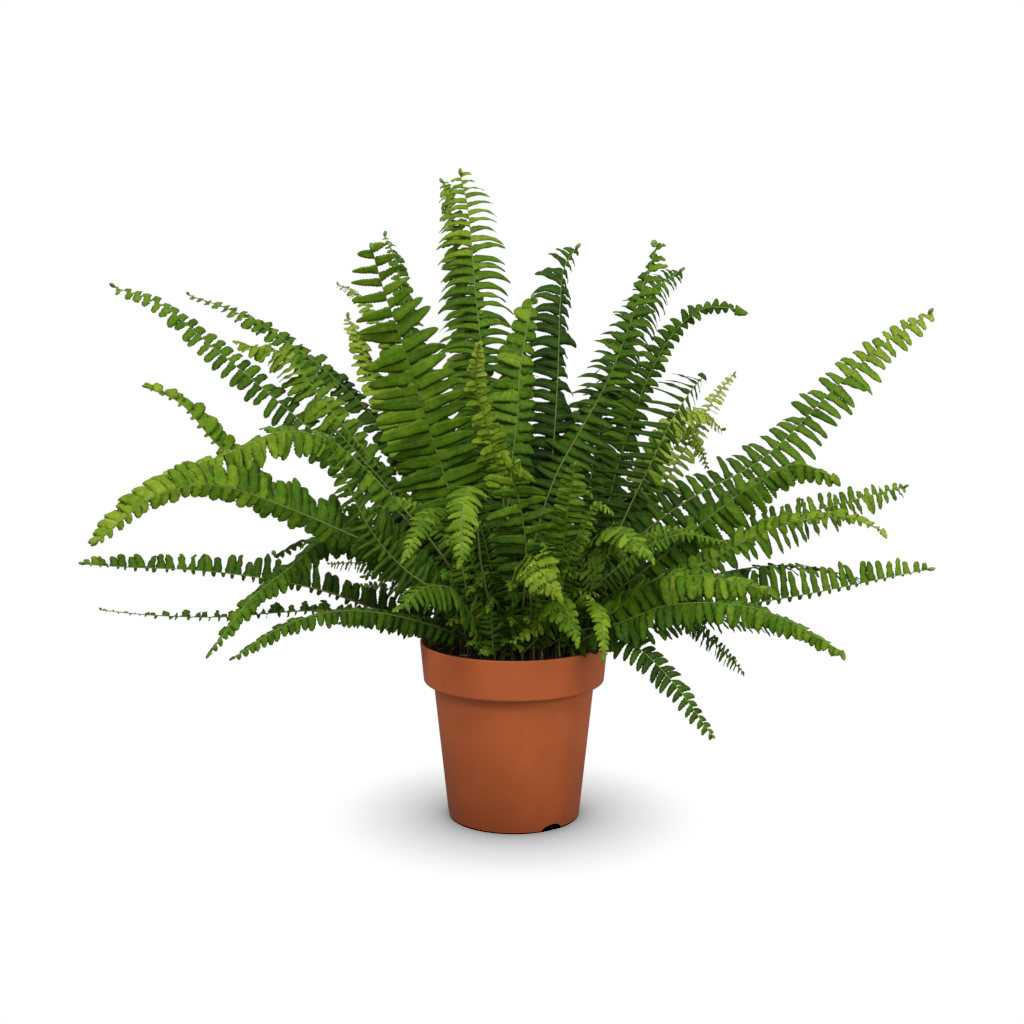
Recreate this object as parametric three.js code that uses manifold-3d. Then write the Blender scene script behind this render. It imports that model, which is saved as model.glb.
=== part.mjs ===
// A potted sword fern: a terracotta-coloured plastic nursery pot, the soil that fills it, and the fronds that
// stand in the soil. Millimetres, +Z up, origin at the middle of the pot's foot, the front towards -Y.
import * as THREE from 'three';
import { mergeVertices } from 'three/addons/utils/BufferGeometryUtils.js';
import Module from 'manifold-3d';

const wasm = await Module();
wasm.setup();
const { lerp, clamp, smoothstep, degToRad, mapLinear } = THREE.MathUtils;

// ---- Pot ----
const POT_HEIGHT = 124;
const RIM_RADIUS = 65; // outside, at the top of the collar
const COLLAR_HEIGHT = 28;
const COLLAR_FOOT_RADIUS = 62.6; // outside, at the bottom of the collar
const NECK_RADIUS = 55.8; // outside, just under the collar
const FOOT_RADIUS = 45.7;
const WALL = 1.6;
const FOOT_RING_WIDTH = 3;
const PAD_RADIUS = 14; // the pad in the middle of the underside, level with the foot ring
const FLOOR_LIFT = 2.5; // the floor's height between the pad and the ring
const EDGE = 0.7; // the small bevels on the foot and the collar
const POT_SIDES = 32;
const NOTCH_ANGLES = [-55, 65, 185]; // drain notches in the foot ring, in degrees from +X
const NOTCH_WIDTH = 16;
const NOTCH_HEIGHT = 3.8;
const DRAIN_HOLES = 4;
const DRAIN_RADIUS = 4;
const DRAIN_CIRCLE = 27;

// ---- Soil ----
const SOIL_RIM_Z = 114; // soil level at the wall
const SOIL_MOUND = 3; // how much higher it is in the middle
const MOUND_RADIUS = 45; // where the mound's slope starts
const SOIL_GAP = 0.3; // between the soil and the pot
const FACET_GAP = 0.1; // more of it where the collar widens
const STEM_DEPTH = 8; // how far a stem stands in its hole
const HOLE_RADIUS = 2.3; // half the diagonal of the square hole

// ---- Fronds ----
const STEM_HALF = 0.95; // half the width and thickness of a stem at the soil
const RIB_HALF = 0.7; // the same at the tip
const LEAF_HALF = 0.36; // half the thickness of a leaflet
const NARROW = { half: 9, pitch: 18.5 }; // leaflets stand further apart on a wider frond
const WIDE = { half: 31, pitch: 29 };
const FEWEST_PAIRS = 4;
const SHORTEST_LEAFLET = 2.5;
const BARE_LENGTH = 34; // bare stem, from its foot, at least
const BLADE = { foot: 0.5, swell: 0.28, rounding: 0.75, least: 0.1 }; // a blade's outline, for bladeShape
const DELTOID_ROUNDING = 0.85;
const TIP_LENGTH = 5; // the last leaflet, in line with the rib
const SEAT_RADIUS = 42; // stems leave the soil inside this radius
const SEAT_PULL = 0.6; // a seat is sought at this share of the way from the middle to the route's low end
const SEAT_ROUNDS = 12;
const GOLDEN_ANGLE = degToRad(137.508);
const STEM_RISE = 8; // a stem's straight stretch above the soil
const STEM_CLEARANCE = 6; // between the centre lines of two stems
const RIM_CLEARANCE = 4; // between a stem's centre line and the top of the rim
const OVER_RIM = { risen: 8, falls: 4, fallen: 14 }; // distances inside and outside the rim's radius
const SETTLE_ROUNDS = 90;
const LINE_STEPS = 31;
const FIRM_STEPS = [2, 5]; // a line's points are fixed up to the one, and free from the other
const FRAMES = 40; // steps along a frond in which its upper side turns
const TURN_PER_FRAME = 0.25; // share of what is left to turn
const SQUARE = [0.2, 0.6]; // a rib that stands less square to its face than this doesn't turn to it, or less
const PARALLEL = 1e-9; // below this, two directions are taken to be parallel
const CLEARANCE = 0.35; // between a leaflet and anything that isn't its own frond

// ---- Where the reference photograph, 1024 pixels square, was taken from ----
const PHOTO = { middle: 512, focal: 1564, tilt: degToRad(8.1) };
const EYE = new THREE.Vector3(-1.3, -1060, 364);

// The point that the photograph shows at a column and row, at a given depth in mm behind the pot's axis.
function seenAt([column, row, depth]) {
  const ray = new THREE.Vector3(0, Math.cos(PHOTO.tilt), -Math.sin(PHOTO.tilt));
  const up = new THREE.Vector3(0, Math.sin(PHOTO.tilt), Math.cos(PHOTO.tilt));
  ray.x = (column - PHOTO.middle) / PHOTO.focal;
  ray.addScaledVector(up, (PHOTO.middle - row) / PHOTO.focal);
  return EYE.clone().addScaledVector(ray, (depth - EYE.y) / ray.y);
}

// A frond that the photograph shows. half is half its width, face is where its upper side looks, and seen is
// its route from low to tip as [column, row, depth]. FORM tells the rest.
const FORM = {
  bare: 0.15, // share of its length that is bare stem, at least
  full: 2.1, // how full its tip is: at 1 it narrows evenly, and above 1 it keeps its width further up
  deltoid: false, // whether it is widest at its lowest leaflets
  fold: [0, 0], // degrees by which its left and right leaflets rise from its plane. Below 0 they hang
  sides: [1, 1], // how long its left and right leaflets are, as shares of the blade's half width
};
const FRONDS = [];
function frond(name, half, face, seen, form = {}) {
  FRONDS.push({ ...FORM, name, half, face, faceTip: face, way: seen.map(seenAt), ...form });
}

// Upright fronds
frond('top', 27, [0.2, -1, 0.1],
  [[500, 540, 22], [491, 440, 42], [484, 370, 66], [476, 300, 91], [468, 210, 118], [460, 174, 140]],
  { full: 6 });
frond('top_left', 18, [-0.4, -1, 0],
  [[484, 500, 50], [470, 380, 77], [459, 280, 104], [450, 215, 128], [443, 182, 150]], { full: 3.5 });
frond('tall_left', 31, [0.1, -1, 0.1],
  [[470, 560, -8], [448, 487, -18], [423, 410, -31], [400, 336, -47], [383, 288, -60], [371, 245, -74]],
  { full: 4 });
frond('tall_left_behind', 18, [0.5, -0.85, 0],
  [[462, 530, 26], [432, 420, 44], [407, 315, 64], [395, 258, 83], [384, 236, 105]],
  { fold: [-28, 0], sides: [0.6, 1] });
frond('wisp_left_high', 11, [0, -0.6, 0.8],
  [[448, 500, 60], [408, 390, 83], [374, 316, 108], [354, 292, 133], [338, 285, 160]]);
frond('wisp_left', 17, [0.5, -0.85, 0],
  [[440, 510, 44], [398, 420, 59], [371, 372, 76], [357, 335, 94], [347, 317, 112]]);
frond('middle_bright', 25, [-0.1, -1, 0.1],
  [[505, 545, 2], [511, 470, 7], [517, 420, 13], [520, 370, 21], [526, 335, 30], [533, 298, 40]],
  { full: 3.5, fold: [0, -30], sides: [1, 0.6] });
frond('middle_young', 11, [0, -1, 0.2],
  [[507, 545, -12], [499, 475, -22], [488, 430, -35], [476, 385, -49], [479, 343, -62]], { bare: 0.5 });
frond('middle_dark', 27, [0.3, -1, 0.2],
  [[544, 540, 20], [553, 450, 35], [558, 370, 51], [560, 305, 68], [564, 268, 86], [576, 248, 104]],
  { full: 5, fold: [0, -20], sides: [1, 0.65] });
frond('right_tall', 24, [0, -1, 0],
  [[530, 560, 8], [554, 480, 16], [582, 428, 26], [602, 392, 36], [618, 357, 46], [642, 290, 56],
    [657, 245, 66]],
  { faceTip: [-0.9, -0.5, 0], full: 4 });
frond('right_tall_behind', 24, [0.2, -1, 0.2],
  [[578, 540, 30], [597, 440, 48], [614, 372, 66], [637, 323, 84], [656, 289, 104], [680, 271, 124]],
  { full: 3 });
frond('right_arch', 24, [-0.2, -1, 0.3],
  [[597, 540, 6], [618, 465, 4], [633, 418, -3], [648, 378, -10], [676, 330, -18], [706, 308, -26],
    [735, 309, -34]],
  { full: 1.2, fold: [0, -30], sides: [1, 0.6] });
frond('right_dark', 28, [-0.2, -1, 0],
  [[603, 565, -10], [630, 506, -13], [654, 457, -15], [672, 420, -13], [690, 392, 1], [702, 378, 24]],
  { full: 8, fold: [0, -25], sides: [1, 0.4] });
frond('right_pale', 12, [0, -1, 0.3],
  [[628, 560, 52], [664, 485, 76], [697, 428, 102], [714, 399, 125], [734, 374, 148]]);
frond('right_pale_low', 14, [0, -0.75, 0.65],
  [[622, 545, 40], [650, 465, 57], [676, 420, 75], [704, 414, 93], [722, 430, 112]]);

// Fronds that reach out to the right
frond('right_long', 22, [-0.35, -0.9, 0.35],
  [[586, 592, 0], [628, 546, 9], [685, 502, 24], [762, 459, 45], [832, 391, 69], [884, 344, 87],
    [930, 313, 104]],
  { full: 3.2 });
frond('right_long_under', 21, [0, -0.8, 0.6],
  [[604, 600, -18], [660, 558, -26], [716, 512, -35], [757, 483, -42], [795, 464, -48], [831, 476, -56]],
  { fold: [-30, -30] });
frond('right_mid_behind', 17, [0, -0.9, 0.4],
  [[622, 606, 26], [700, 560, 39], [770, 525, 52], [818, 510, 66], [868, 496, 78], [905, 487, 92]],
  { full: 3.5 });
frond('right_mid', 15, [0, -0.75, 0.65],
  [[618, 610, -32], [700, 566, -47], [760, 534, -59], [800, 521, -71], [845, 517, -84], [881, 530, -98]],
  { full: 2.5, fold: [0, -15], sides: [1, 0.4] });
frond('right_low', 30, [0.1, -1, 0.15],
  [[616, 622, 4], [690, 612, 10], [760, 602, 18], [818, 592, 26], [875, 580, 36], [930, 569, 46]],
  { full: 2.4, fold: [0, -30], sides: [1, 0.15] });
frond('right_low_front', 20, [0, -0.75, 0.65],
  [[622, 606, -48], [638, 590, -61], [661, 578, -75], [700, 576, -89], [735, 582, -100], [768, 590, -109]],
  { full: 1.2, fold: [-20, -20] });
frond('right_drop', 15, [0, -0.55, 0.85],
  [[628, 620, -64], [665, 606, -83], [712, 603, -101], [762, 610, -117], [804, 629, -133], [840, 651, -150]],
  { fold: [-24, -24] });
frond('right_drop_behind', 13, [0, -0.3, 1],
  [[640, 628, 22], [690, 618, 42], [740, 622, 64], [803, 634, 88]]);
frond('right_sprig', 9, [0.3, -0.8, 0.4],
  [[606, 606, 36], [648, 608, 52], [690, 623, 69], [720, 648, 85], [743, 672, 102]], { bare: 0.6 });
frond('right_hanging', 12, [0.2, -0.9, 0.3],
  [[606, 626, -46], [628, 640, -65], [650, 658, -79], [676, 686, -94], [713, 737, -108]]);

// Fronds that reach out to the left
frond('left_long', 19, [0.3, -0.85, 0.45],
  [[456, 580, 4], [410, 522, 14], [362, 474, 28], [309, 428, 43], [255, 382, 58], [207, 342, 72],
    [160, 304, 85], [113, 287, 96]], { full: 1.1 });
frond('left_long_behind', 12, [0.2, -0.55, 0.8],
  [[452, 560, 34], [420, 480, 52], [385, 430, 69], [345, 388, 88], [299, 350, 107], [240, 314, 125],
    [188, 295, 142]],
  { full: 3 });
frond('left_pale_arch', 16, [0, -0.65, 0.75],
  [[450, 570, 20], [404, 500, 28], [350, 434, 38], [316, 392, 50], [288, 358, 61], [238, 343, 74]],
  { full: 6, fold: [-15, -15] });
frond('left_mid', 13, [0.3, -0.9, 0.4],
  [[440, 590, -12], [370, 545, -19], [300, 503, -24], [244, 470, -27], [213, 440, -31], [179, 402, -35],
    [144, 387, -40]], { full: 5, bare: 0.6, fold: [-10, 0], sides: [0.2, 1] });
frond('left_pale', 14, [0, -0.6, 0.8],
  [[452, 570, -28], [388, 492, -42], [328, 440, -55], [280, 432, -68], [232, 452, -79], [155, 479, -92]],
  { full: 6, bare: 0.42, fold: [-20, -20] });
frond('left_arch', 25, [0.1, -0.95, 0.35],
  [[440, 600, -34], [393, 556, -53], [340, 530, -74], [280, 505, -94], [213, 485, -114], [156, 496, -130],
    [95, 544, -146]],
  { full: 2.5, fold: [-30, 0], sides: [0.4, 1] });
frond('left_low', 19, [0, -0.95, 0.35],
  [[440, 622, -2], [381, 610, 1], [324, 591, 7], [262, 578, 13], [194, 570, 21], [126, 567, 28],
    [83, 564, 34]],
  { full: 4, fold: [-30, 0], sides: [0.2, 1] });
frond('left_low_thin', 9, [0, -0.5, 0.87],
  [[438, 628, 26], [370, 612, 38], [300, 611, 51], [221, 617, 63], [150, 615, 76], [101, 610, 88]],
  { fold: [-30, 0], sides: [0.4, 1] });
frond('left_drop', 12, [-0.1, -0.7, 0.7],
  [[446, 590, -20], [384, 552, -30], [331, 537, -42], [292, 566, -62], [252, 598, -80], [211, 652, -98]],
  { fold: [-15, -15] });
frond('left_drop_low', 10, [0, -0.6, 0.8],
  [[440, 628, -32], [372, 612, -47], [324, 613, -62], [280, 628, -76], [235, 657, -92]],
  { fold: [-15, -15] });
frond('left_inner', 14, [0.3, -0.9, 0.3],
  [[448, 600, -44], [408, 572, -56], [376, 538, -66], [351, 493, -74], [336, 458, -83], [326, 436, -92]]);
frond('left_inner_behind', 16, [0.3, -0.8, 0.4],
  [[458, 590, 14], [428, 546, 17], [398, 501, 22], [368, 464, 29], [330, 424, 36]]);

// Short fronds at the front
frond('front_hanging', 14, [0, 0.4, 0.9],
  [[482, 570, -48], [476, 512, -72], [469, 486, -105], [463, 508, -136], [461, 560, -150]],
  { faceTip: [0, -1, 0.3], bare: 0.55 });
frond('front_hanging_left', 11, [0, 0.4, 0.9],
  [[468, 590, -44], [455, 532, -64], [440, 508, -90], [422, 522, -118], [405, 558, -134]],
  { faceTip: [-0.3, -1, 0.3], bare: 0.55 });
frond('front_stem', 20, [0, -1, 0.2],
  [[522, 625, -34], [526, 550, -45], [519, 500, -56], [511, 470, -69], [520, 460, -84]],
  { full: 6, bare: 0.3 });
frond('front_butterfly', 20, [0.1, -1, 0.2],
  [[531, 615, -50], [528, 580, -66], [531, 557, -82], [536, 563, -92], [544, 577, -98], [557, 592, -101]],
  { bare: 0.64, deltoid: true });
frond('front_low', 16, [0.1, -1, 0.2],
  [[546, 626, -46], [546, 606, -60], [553, 599, -73], [562, 609, -82], [570, 621, -87], [577, 637, -90]],
  { bare: 0.5, deltoid: true });
frond('rim_right', 12, [0.3, -1, 0.3],
  [[584, 612, -36], [594, 602, -62], [602, 620, -88], [604, 656, -100]],
  { bare: 0.45, deltoid: true });
frond('left_front_pale', 18, [0, -0.65, 0.75],
  [[472, 616, -48], [450, 588, -72], [424, 588, -93], [402, 606, -112]], { bare: 0.35, fold: [-15, -15] });
frond('fishbone', 19, [0, -1, 0],
  [[517, 610, -22], [518, 580, -31], [513, 545, -41], [507, 515, -52]], { full: 3 });
frond('fishbone_right', 12, [0, -1, 0],
  [[560, 600, -18], [562, 560, -31], [567, 515, -45], [575, 463, -58]], { full: 5 });
frond('right_front_pale', 13, [-0.5, 0.2, 0.85],
  [[588, 596, -38], [592, 548, -55], [608, 530, -75], [632, 538, -96], [652, 558, -112]],
  { faceTip: [0.3, -0.8, 0.6], bare: 0.4 });

// ---- Fronds that the photograph doesn't show: they fan out behind the pot's axis, by a seeded rule ----
const BACK = {
  count: 11,
  seed: 41,
  angles: [12, 168], // of the first and the last, in degrees from +X
  stray: [-3, 3],
  reach: [185, 270],
  rise: [140, 225],
  half: [17, 24],
  route: [[0.26, 0.5], [0.55, 0.92], [0.8, 0.98], [1, 0.72]], // shares of its reach and of its rise
  lean: 0.2, // how far its upper side looks to the pot
};
// A steeper frond reaches less far and stands higher, and one to the side stands lower.
const STEEP = { reach: 0.22, low: 0.5, rise: 0.3, side: 0.35 };
let seed = BACK.seed;
function draw([low, high]) {
  seed = (seed * 1103515245 + 12345) % 2147483648;
  return lerp(low, high, seed / 2147483648);
}
function backFrond(i) {
  const angle = degToRad(lerp(...BACK.angles, (i + 0.5) / BACK.count) + draw(BACK.stray));
  const out = new THREE.Vector3(Math.cos(angle), Math.sin(angle), 0);
  const steep = i % 3; // 0 lies low, 2 stands up
  const reach = draw(BACK.reach) * (1 - STEEP.reach * steep);
  const rise = draw(BACK.rise) * (STEEP.low + STEEP.rise * steep) * (1 - STEEP.side * Math.abs(out.x));
  const spot = ([far, high]) => out.clone().multiplyScalar(far * reach).setZ(SOIL_RIM_Z + high * rise);
  const name = `back_${String(i + 1).padStart(2, '0')}`;
  const face = [-BACK.lean * out.x, -BACK.lean * out.y, 1];
  const half = draw(BACK.half);
  FRONDS.push({ ...FORM, name, half, face, faceTip: [0, 0, 1], way: BACK.route.map(spot) });
}
for (let i = 0; i < BACK.count; i++) backFrond(i);

// ---- Where stems stand: seats in a sunflower spiral, traded until no trade brings two fronds nearer ----
const soilTop = (x, y) => SOIL_RIM_Z + SOIL_MOUND * (1 - (x * x + y * y) / (NECK_RADIUS * NECK_RADIUS));

function takeSeats() {
  FRONDS.forEach((f, i) => {
    const r = SEAT_RADIUS * Math.sqrt((i + 0.5) / FRONDS.length);
    f.seat = new THREE.Vector2(r * Math.cos(i * GOLDEN_ANGLE), r * Math.sin(i * GOLDEN_ANGLE));
    f.wanted = new THREE.Vector2(f.way[0].x, f.way[0].y).multiplyScalar(SEAT_PULL);
  });
  for (let round = 0; round < SEAT_ROUNDS; round++) {
    for (const a of FRONDS) {
      for (const b of FRONDS) {
        const kept = a.wanted.distanceToSquared(a.seat) + b.wanted.distanceToSquared(b.seat);
        const traded = a.wanted.distanceToSquared(b.seat) + b.wanted.distanceToSquared(a.seat);
        if (traded < kept - 1e-6) [a.seat, b.seat] = [b.seat, a.seat];
      }
    }
  }
}

// The centre line of a stem and its rib: straight up out of the soil, then along the frond's route.
const smooth = (points) => new THREE.CatmullRomCurve3(points, false, 'centripetal');
function centreLine({ seat, way }) {
  const [foot, surface, rise] = [-STEM_DEPTH, 1, STEM_RISE].map(
    (up) => new THREE.Vector3(seat.x, seat.y, soilTop(seat.x, seat.y) + up));
  return [foot, surface, ...smooth([rise, ...way]).getSpacedPoints(LINE_STEPS)];
}

// A stem that leaves the pot passes over its rim.
function liftOverRim(point) {
  const r = Math.hypot(point.x, point.y);
  const rising = smoothstep(r, SEAT_RADIUS, RIM_RADIUS - OVER_RIM.risen);
  const falling = smoothstep(r, RIM_RADIUS + OVER_RIM.falls, RIM_RADIUS + OVER_RIM.fallen);
  point.z = Math.max(point.z, lerp(point.z, POT_HEIGHT + RIM_CLEARANCE, rising * (1 - falling)));
}

// The shares along segments pq and rs at which the two come closest.
function closestShares(p, q, r, s) {
  const d1 = q.clone().sub(p);
  const d2 = s.clone().sub(r);
  const w = p.clone().sub(r);
  const a = d1.dot(d1);
  const b = d1.dot(d2);
  const c = d1.dot(w);
  const e = d2.dot(d2);
  const f = d2.dot(w);
  const spread = a * e - b * b;
  const t = spread > PARALLEL ? clamp((b * f - c * e) / spread, 0, 1) : 0;
  const u = clamp((b * t + f) / e, 0, 1);
  return [clamp((b * u - c) / a, 0, 1), u];
}

// Stems that would meet give way to each other, a little in each round. Their feet stay where they are.
function settle() {
  for (let round = 0; round < SETTLE_ROUNDS; round++) {
    const pushes = FRONDS.map((f) => f.line.map(() => new THREE.Vector3()));
    FRONDS.forEach((one, i) => {
      for (let j = i + 1; j < FRONDS.length; j++) part(one.line, FRONDS[j].line, pushes[i], pushes[j]);
    });
    FRONDS.forEach((f, i) => {
      const last = f.line.length - 1;
      pushes[i].forEach((push, k) => {
        const eased = push.clone().multiplyScalar(2);
        eased.add(pushes[i][Math.max(0, k - 1)]).add(pushes[i][Math.min(last, k + 1)]).multiplyScalar(0.25);
        f.line[k].addScaledVector(eased, smoothstep(k, ...FIRM_STEPS));
        liftOverRim(f.line[k]);
      });
    });
  }
}

// The pushes that part two stems wherever they come too close.
function part(one, other, pushOne, pushOther) {
  for (let k = 1; k < one.length; k++) {
    for (let l = 1; l < other.length; l++) {
      const far = one[k].distanceTo(one[k - 1]) + other[l].distanceTo(other[l - 1]) + STEM_CLEARANCE;
      if (one[k].distanceTo(other[l]) > far) continue;
      const [t, u] = closestShares(one[k - 1], one[k], other[l - 1], other[l]);
      const here = one[k - 1].clone().lerp(one[k], t);
      const there = other[l - 1].clone().lerp(other[l], u);
      const apart = here.distanceTo(there);
      if (apart >= STEM_CLEARANCE) continue;
      const push = here.sub(there).setLength((STEM_CLEARANCE - apart) / 2);
      pushOne[k - 1].addScaledVector(push, 1 - t);
      pushOne[k].addScaledVector(push, t);
      pushOther[l - 1].addScaledVector(push, u - 1);
      pushOther[l].addScaledVector(push, -u);
    }
  }
}

// ---- A frond as a thin sheet: its rib with leaflets cut to it, all in one outline ----

// Width of the blade as a share of its widest. u runs from the lowest leaflet, 0, to the tip, 1.
function bladeShape({ deltoid, full }, u) {
  if (deltoid) return Math.pow(1 - u, DELTOID_ROUNDING) + BLADE.least;
  const swelling = lerp(BLADE.foot, 1, smoothstep(u, 0, BLADE.swell));
  return swelling * Math.pow(1 - Math.pow(u, full), BLADE.rounding) + BLADE.least;
}

// The upper side's direction along a frond, from the tip down. It turns to the frond's face, but the bare
// stem doesn't twist, and neither does a stretch that points where the face looks.
function upperSides(f) {
  const ups = [];
  for (let k = FRAMES; k >= 0; k--) {
    const s = k / FRAMES;
    const along = f.curve.getTangentAt(s);
    const face = new THREE.Vector3().fromArray(f.face).lerp(new THREE.Vector3().fromArray(f.faceTip), s);
    face.addScaledVector(along, -face.dot(along));
    const turn = TURN_PER_FRAME * smoothstep(face.length(), ...SQUARE) * smoothstep(s, f.bare, 2 * f.bare);
    const up = k === FRAMES ? face.normalize() : ups[k + 1].clone().lerp(face.normalize(), turn);
    ups[k] = up.addScaledVector(along, -up.dot(along)).normalize();
  }
  return ups;
}

// Place, direction, upper side and sideways direction at a share s of the frond's length.
function station(f, s) {
  const at = f.curve.getPointAt(s);
  const along = f.curve.getTangentAt(s);
  const low = Math.min(FRAMES - 1, Math.floor(s * FRAMES));
  const up = f.ups[low].clone().lerp(f.ups[low + 1], s * FRAMES - low);
  up.addScaledVector(along, -up.dot(along)).normalize();
  return { at, along, up, side: along.clone().cross(up) };
}

function addPoint(sheet, point, half, up) {
  sheet.ups.push(up);
  sheet.halves.push(half);
  return sheet.points.push(point) - 1;
}

// The rib, from station to station, and the places between its stations where leaflets can grow.
function layOut(f) {
  f.curve = smooth(f.line);
  const length = f.curve.getLength();
  f.bare = Math.max(f.bare, BARE_LENGTH / length);
  f.ups = upperSides(f);
  const pitch = mapLinear(f.half, NARROW.half, WIDE.half, NARROW.pitch, WIDE.pitch);
  const pairs = Math.max(FEWEST_PAIRS, Math.round((length * (1 - f.bare)) / pitch));
  const shares = [0, (STEM_DEPTH + STEM_RISE / 2) / length, (STEM_DEPTH / length + f.bare) / 2];
  const bareSteps = shares.length;
  for (let i = 0; i <= pairs; i++) shares.push(f.bare + (1 - f.bare) * Math.pow(i / pairs, 0.92));
  f.sheet = { points: [], halves: [], ups: [], faces: [] };
  const stations = shares.map((s) => {
    const here = station(f, s);
    const half = lerp(STEM_HALF, RIB_HALF, s);
    here.left = addPoint(f.sheet, here.at.clone().addScaledVector(here.side, -half), half, here.up);
    here.right = addPoint(f.sheet, here.at.clone().addScaledVector(here.side, half), half, here.up);
    return here;
  });
  f.leaflets = [];
  for (let i = 1; i < shares.length; i++) {
    const a = stations[i - 1];
    const b = stations[i];
    f.sheet.faces.push([a.left, a.right, b.right], [a.left, b.right, b.left]);
    if (i <= bareSteps) continue;
    const u = ((shares[i - 1] + shares[i]) / 2 - f.bare) / (1 - f.bare);
    for (const [sign, k, low, high] of [[1, 1, a.right, b.right], [-1, 0, a.left, b.left]]) {
      const reach = f.half * bladeShape(f, u) * f.sides[k];
      if (reach < SHORTEST_LEAFLET) continue;
      f.leaflets.push({ index: i, sign, fold: degToRad(f.fold[k]), a, b, low, high, reach });
    }
  }
  const end = stations.at(-1);
  const tip = addPoint(f.sheet, end.at.clone().addScaledVector(end.along, TIP_LENGTH), LEAF_HALF, end.up);
  f.sheet.faces.push([end.left, end.right, tip]);
}

// A leaflet's belly and tip, turned at the rib. They stand forward by a share of the step between leaflets,
// and out and down by shares of the leaflet's length.
const BELLY = { forward: 0.3, out: 0.6, sag: 0.05 };
const TIP = { forward: 0.8, out: 1, sag: 0.24 };
function leafletShape({ sign, fold, a, b, reach }, turn, size) {
  const flat = Math.cos(fold + turn);
  const raised = Math.sin(fold + turn);
  const outward = a.side.clone().multiplyScalar(sign * flat).addScaledVector(a.up, raised);
  const over = a.up.clone().multiplyScalar(flat).addScaledVector(a.side, -sign * raised);
  const place = ({ forward, out, sag }) => {
    const point = a.at.clone().lerp(b.at, forward);
    return point.addScaledVector(outward, reach * size * out).addScaledVector(over, -reach * size * sag);
  };
  return { turn, belly: place(BELLY), tip: place(TIP), over };
}

// Closest distance between two triangles, each an array of three points.
function triangleGap(a, b) {
  const nearest = new THREE.Vector3();
  let gap = Infinity;
  for (const [one, other] of [[a, b], [b, a]]) {
    const face = new THREE.Triangle(...other);
    one.forEach((p, i) => {
      face.closestPointToPoint(p, nearest);
      gap = Math.min(gap, nearest.distanceTo(p));
      const edge = one[(i + 1) % 3].clone().sub(p);
      const hit = new THREE.Ray(p, edge.clone().normalize()).intersectTriangle(...other, false, nearest);
      if (hit && hit.distanceTo(p) < edge.length()) gap = 0;
    });
  }
  for (let i = 0; i < 3; i++) {
    for (let j = 0; j < 3; j++) gap = Math.min(gap, segmentGap(a[i], a[(i + 1) % 3], b[j], b[(j + 1) % 3]));
  }
  return gap;
}
function segmentGap(p, q, r, s) {
  const [t, u] = closestShares(p, q, r, s);
  return p.clone().lerp(q, t).distanceTo(r.clone().lerp(s, u));
}

// What already stands in the plant, by cells of space, so that a leaflet is only tested against what is near.
const CELL = 14;
const cells = new Map();
function cellsOf({ min, max }) {
  const keys = [];
  for (let x = Math.floor(min.x / CELL); x <= max.x / CELL; x++) {
    for (let y = Math.floor(min.y / CELL); y <= max.y / CELL; y++) {
      for (let z = Math.floor(min.z / CELL); z <= max.z / CELL; z++) keys.push(`${x},${y},${z}`);
    }
  }
  return keys;
}
// outer is a leaflet's triangle without its root, which must clear even what grows beside it. A rib has none.
function block(owner, index, triangle, half, outer = null) {
  const box = new THREE.Box3().setFromPoints(triangle).expandByScalar(half + CLEARANCE);
  return { owner, index, triangle, half, outer, box };
}
function stand(thing) {
  for (const key of cellsOf(thing.box)) {
    if (!cells.has(key)) cells.set(key, []);
    cells.get(key).push(thing);
  }
}
function isClear(thing) {
  const tested = new Set();
  for (const key of cellsOf(thing.box)) {
    for (const other of cells.get(key) || []) {
      if (tested.has(other)) continue;
      tested.add(other);
      if (!thing.box.intersectsBox(other.box)) continue;
      const steps = other.owner === thing.owner ? Math.abs(other.index - thing.index) : Infinity;
      if (steps === 0 && !other.outer) continue;
      const beside = steps <= 1;
      const gap = beside
        ? triangleGap(thing.outer, other.outer || other.triangle)
        : triangleGap(thing.triangle, other.triangle);
      if (gap < thing.half + other.half + (beside ? 0 : CLEARANCE)) return false;
    }
  }
  return true;
}
function standGeometry(owner, geometry) {
  const corners = geometry.toNonIndexed().getAttribute('position');
  for (let i = 0; i < corners.count; i += 3) {
    const triangle = [0, 1, 2].map((k) => new THREE.Vector3().fromBufferAttribute(corners, i + k));
    stand(block(owner, 0, triangle, 0));
  }
}

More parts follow.
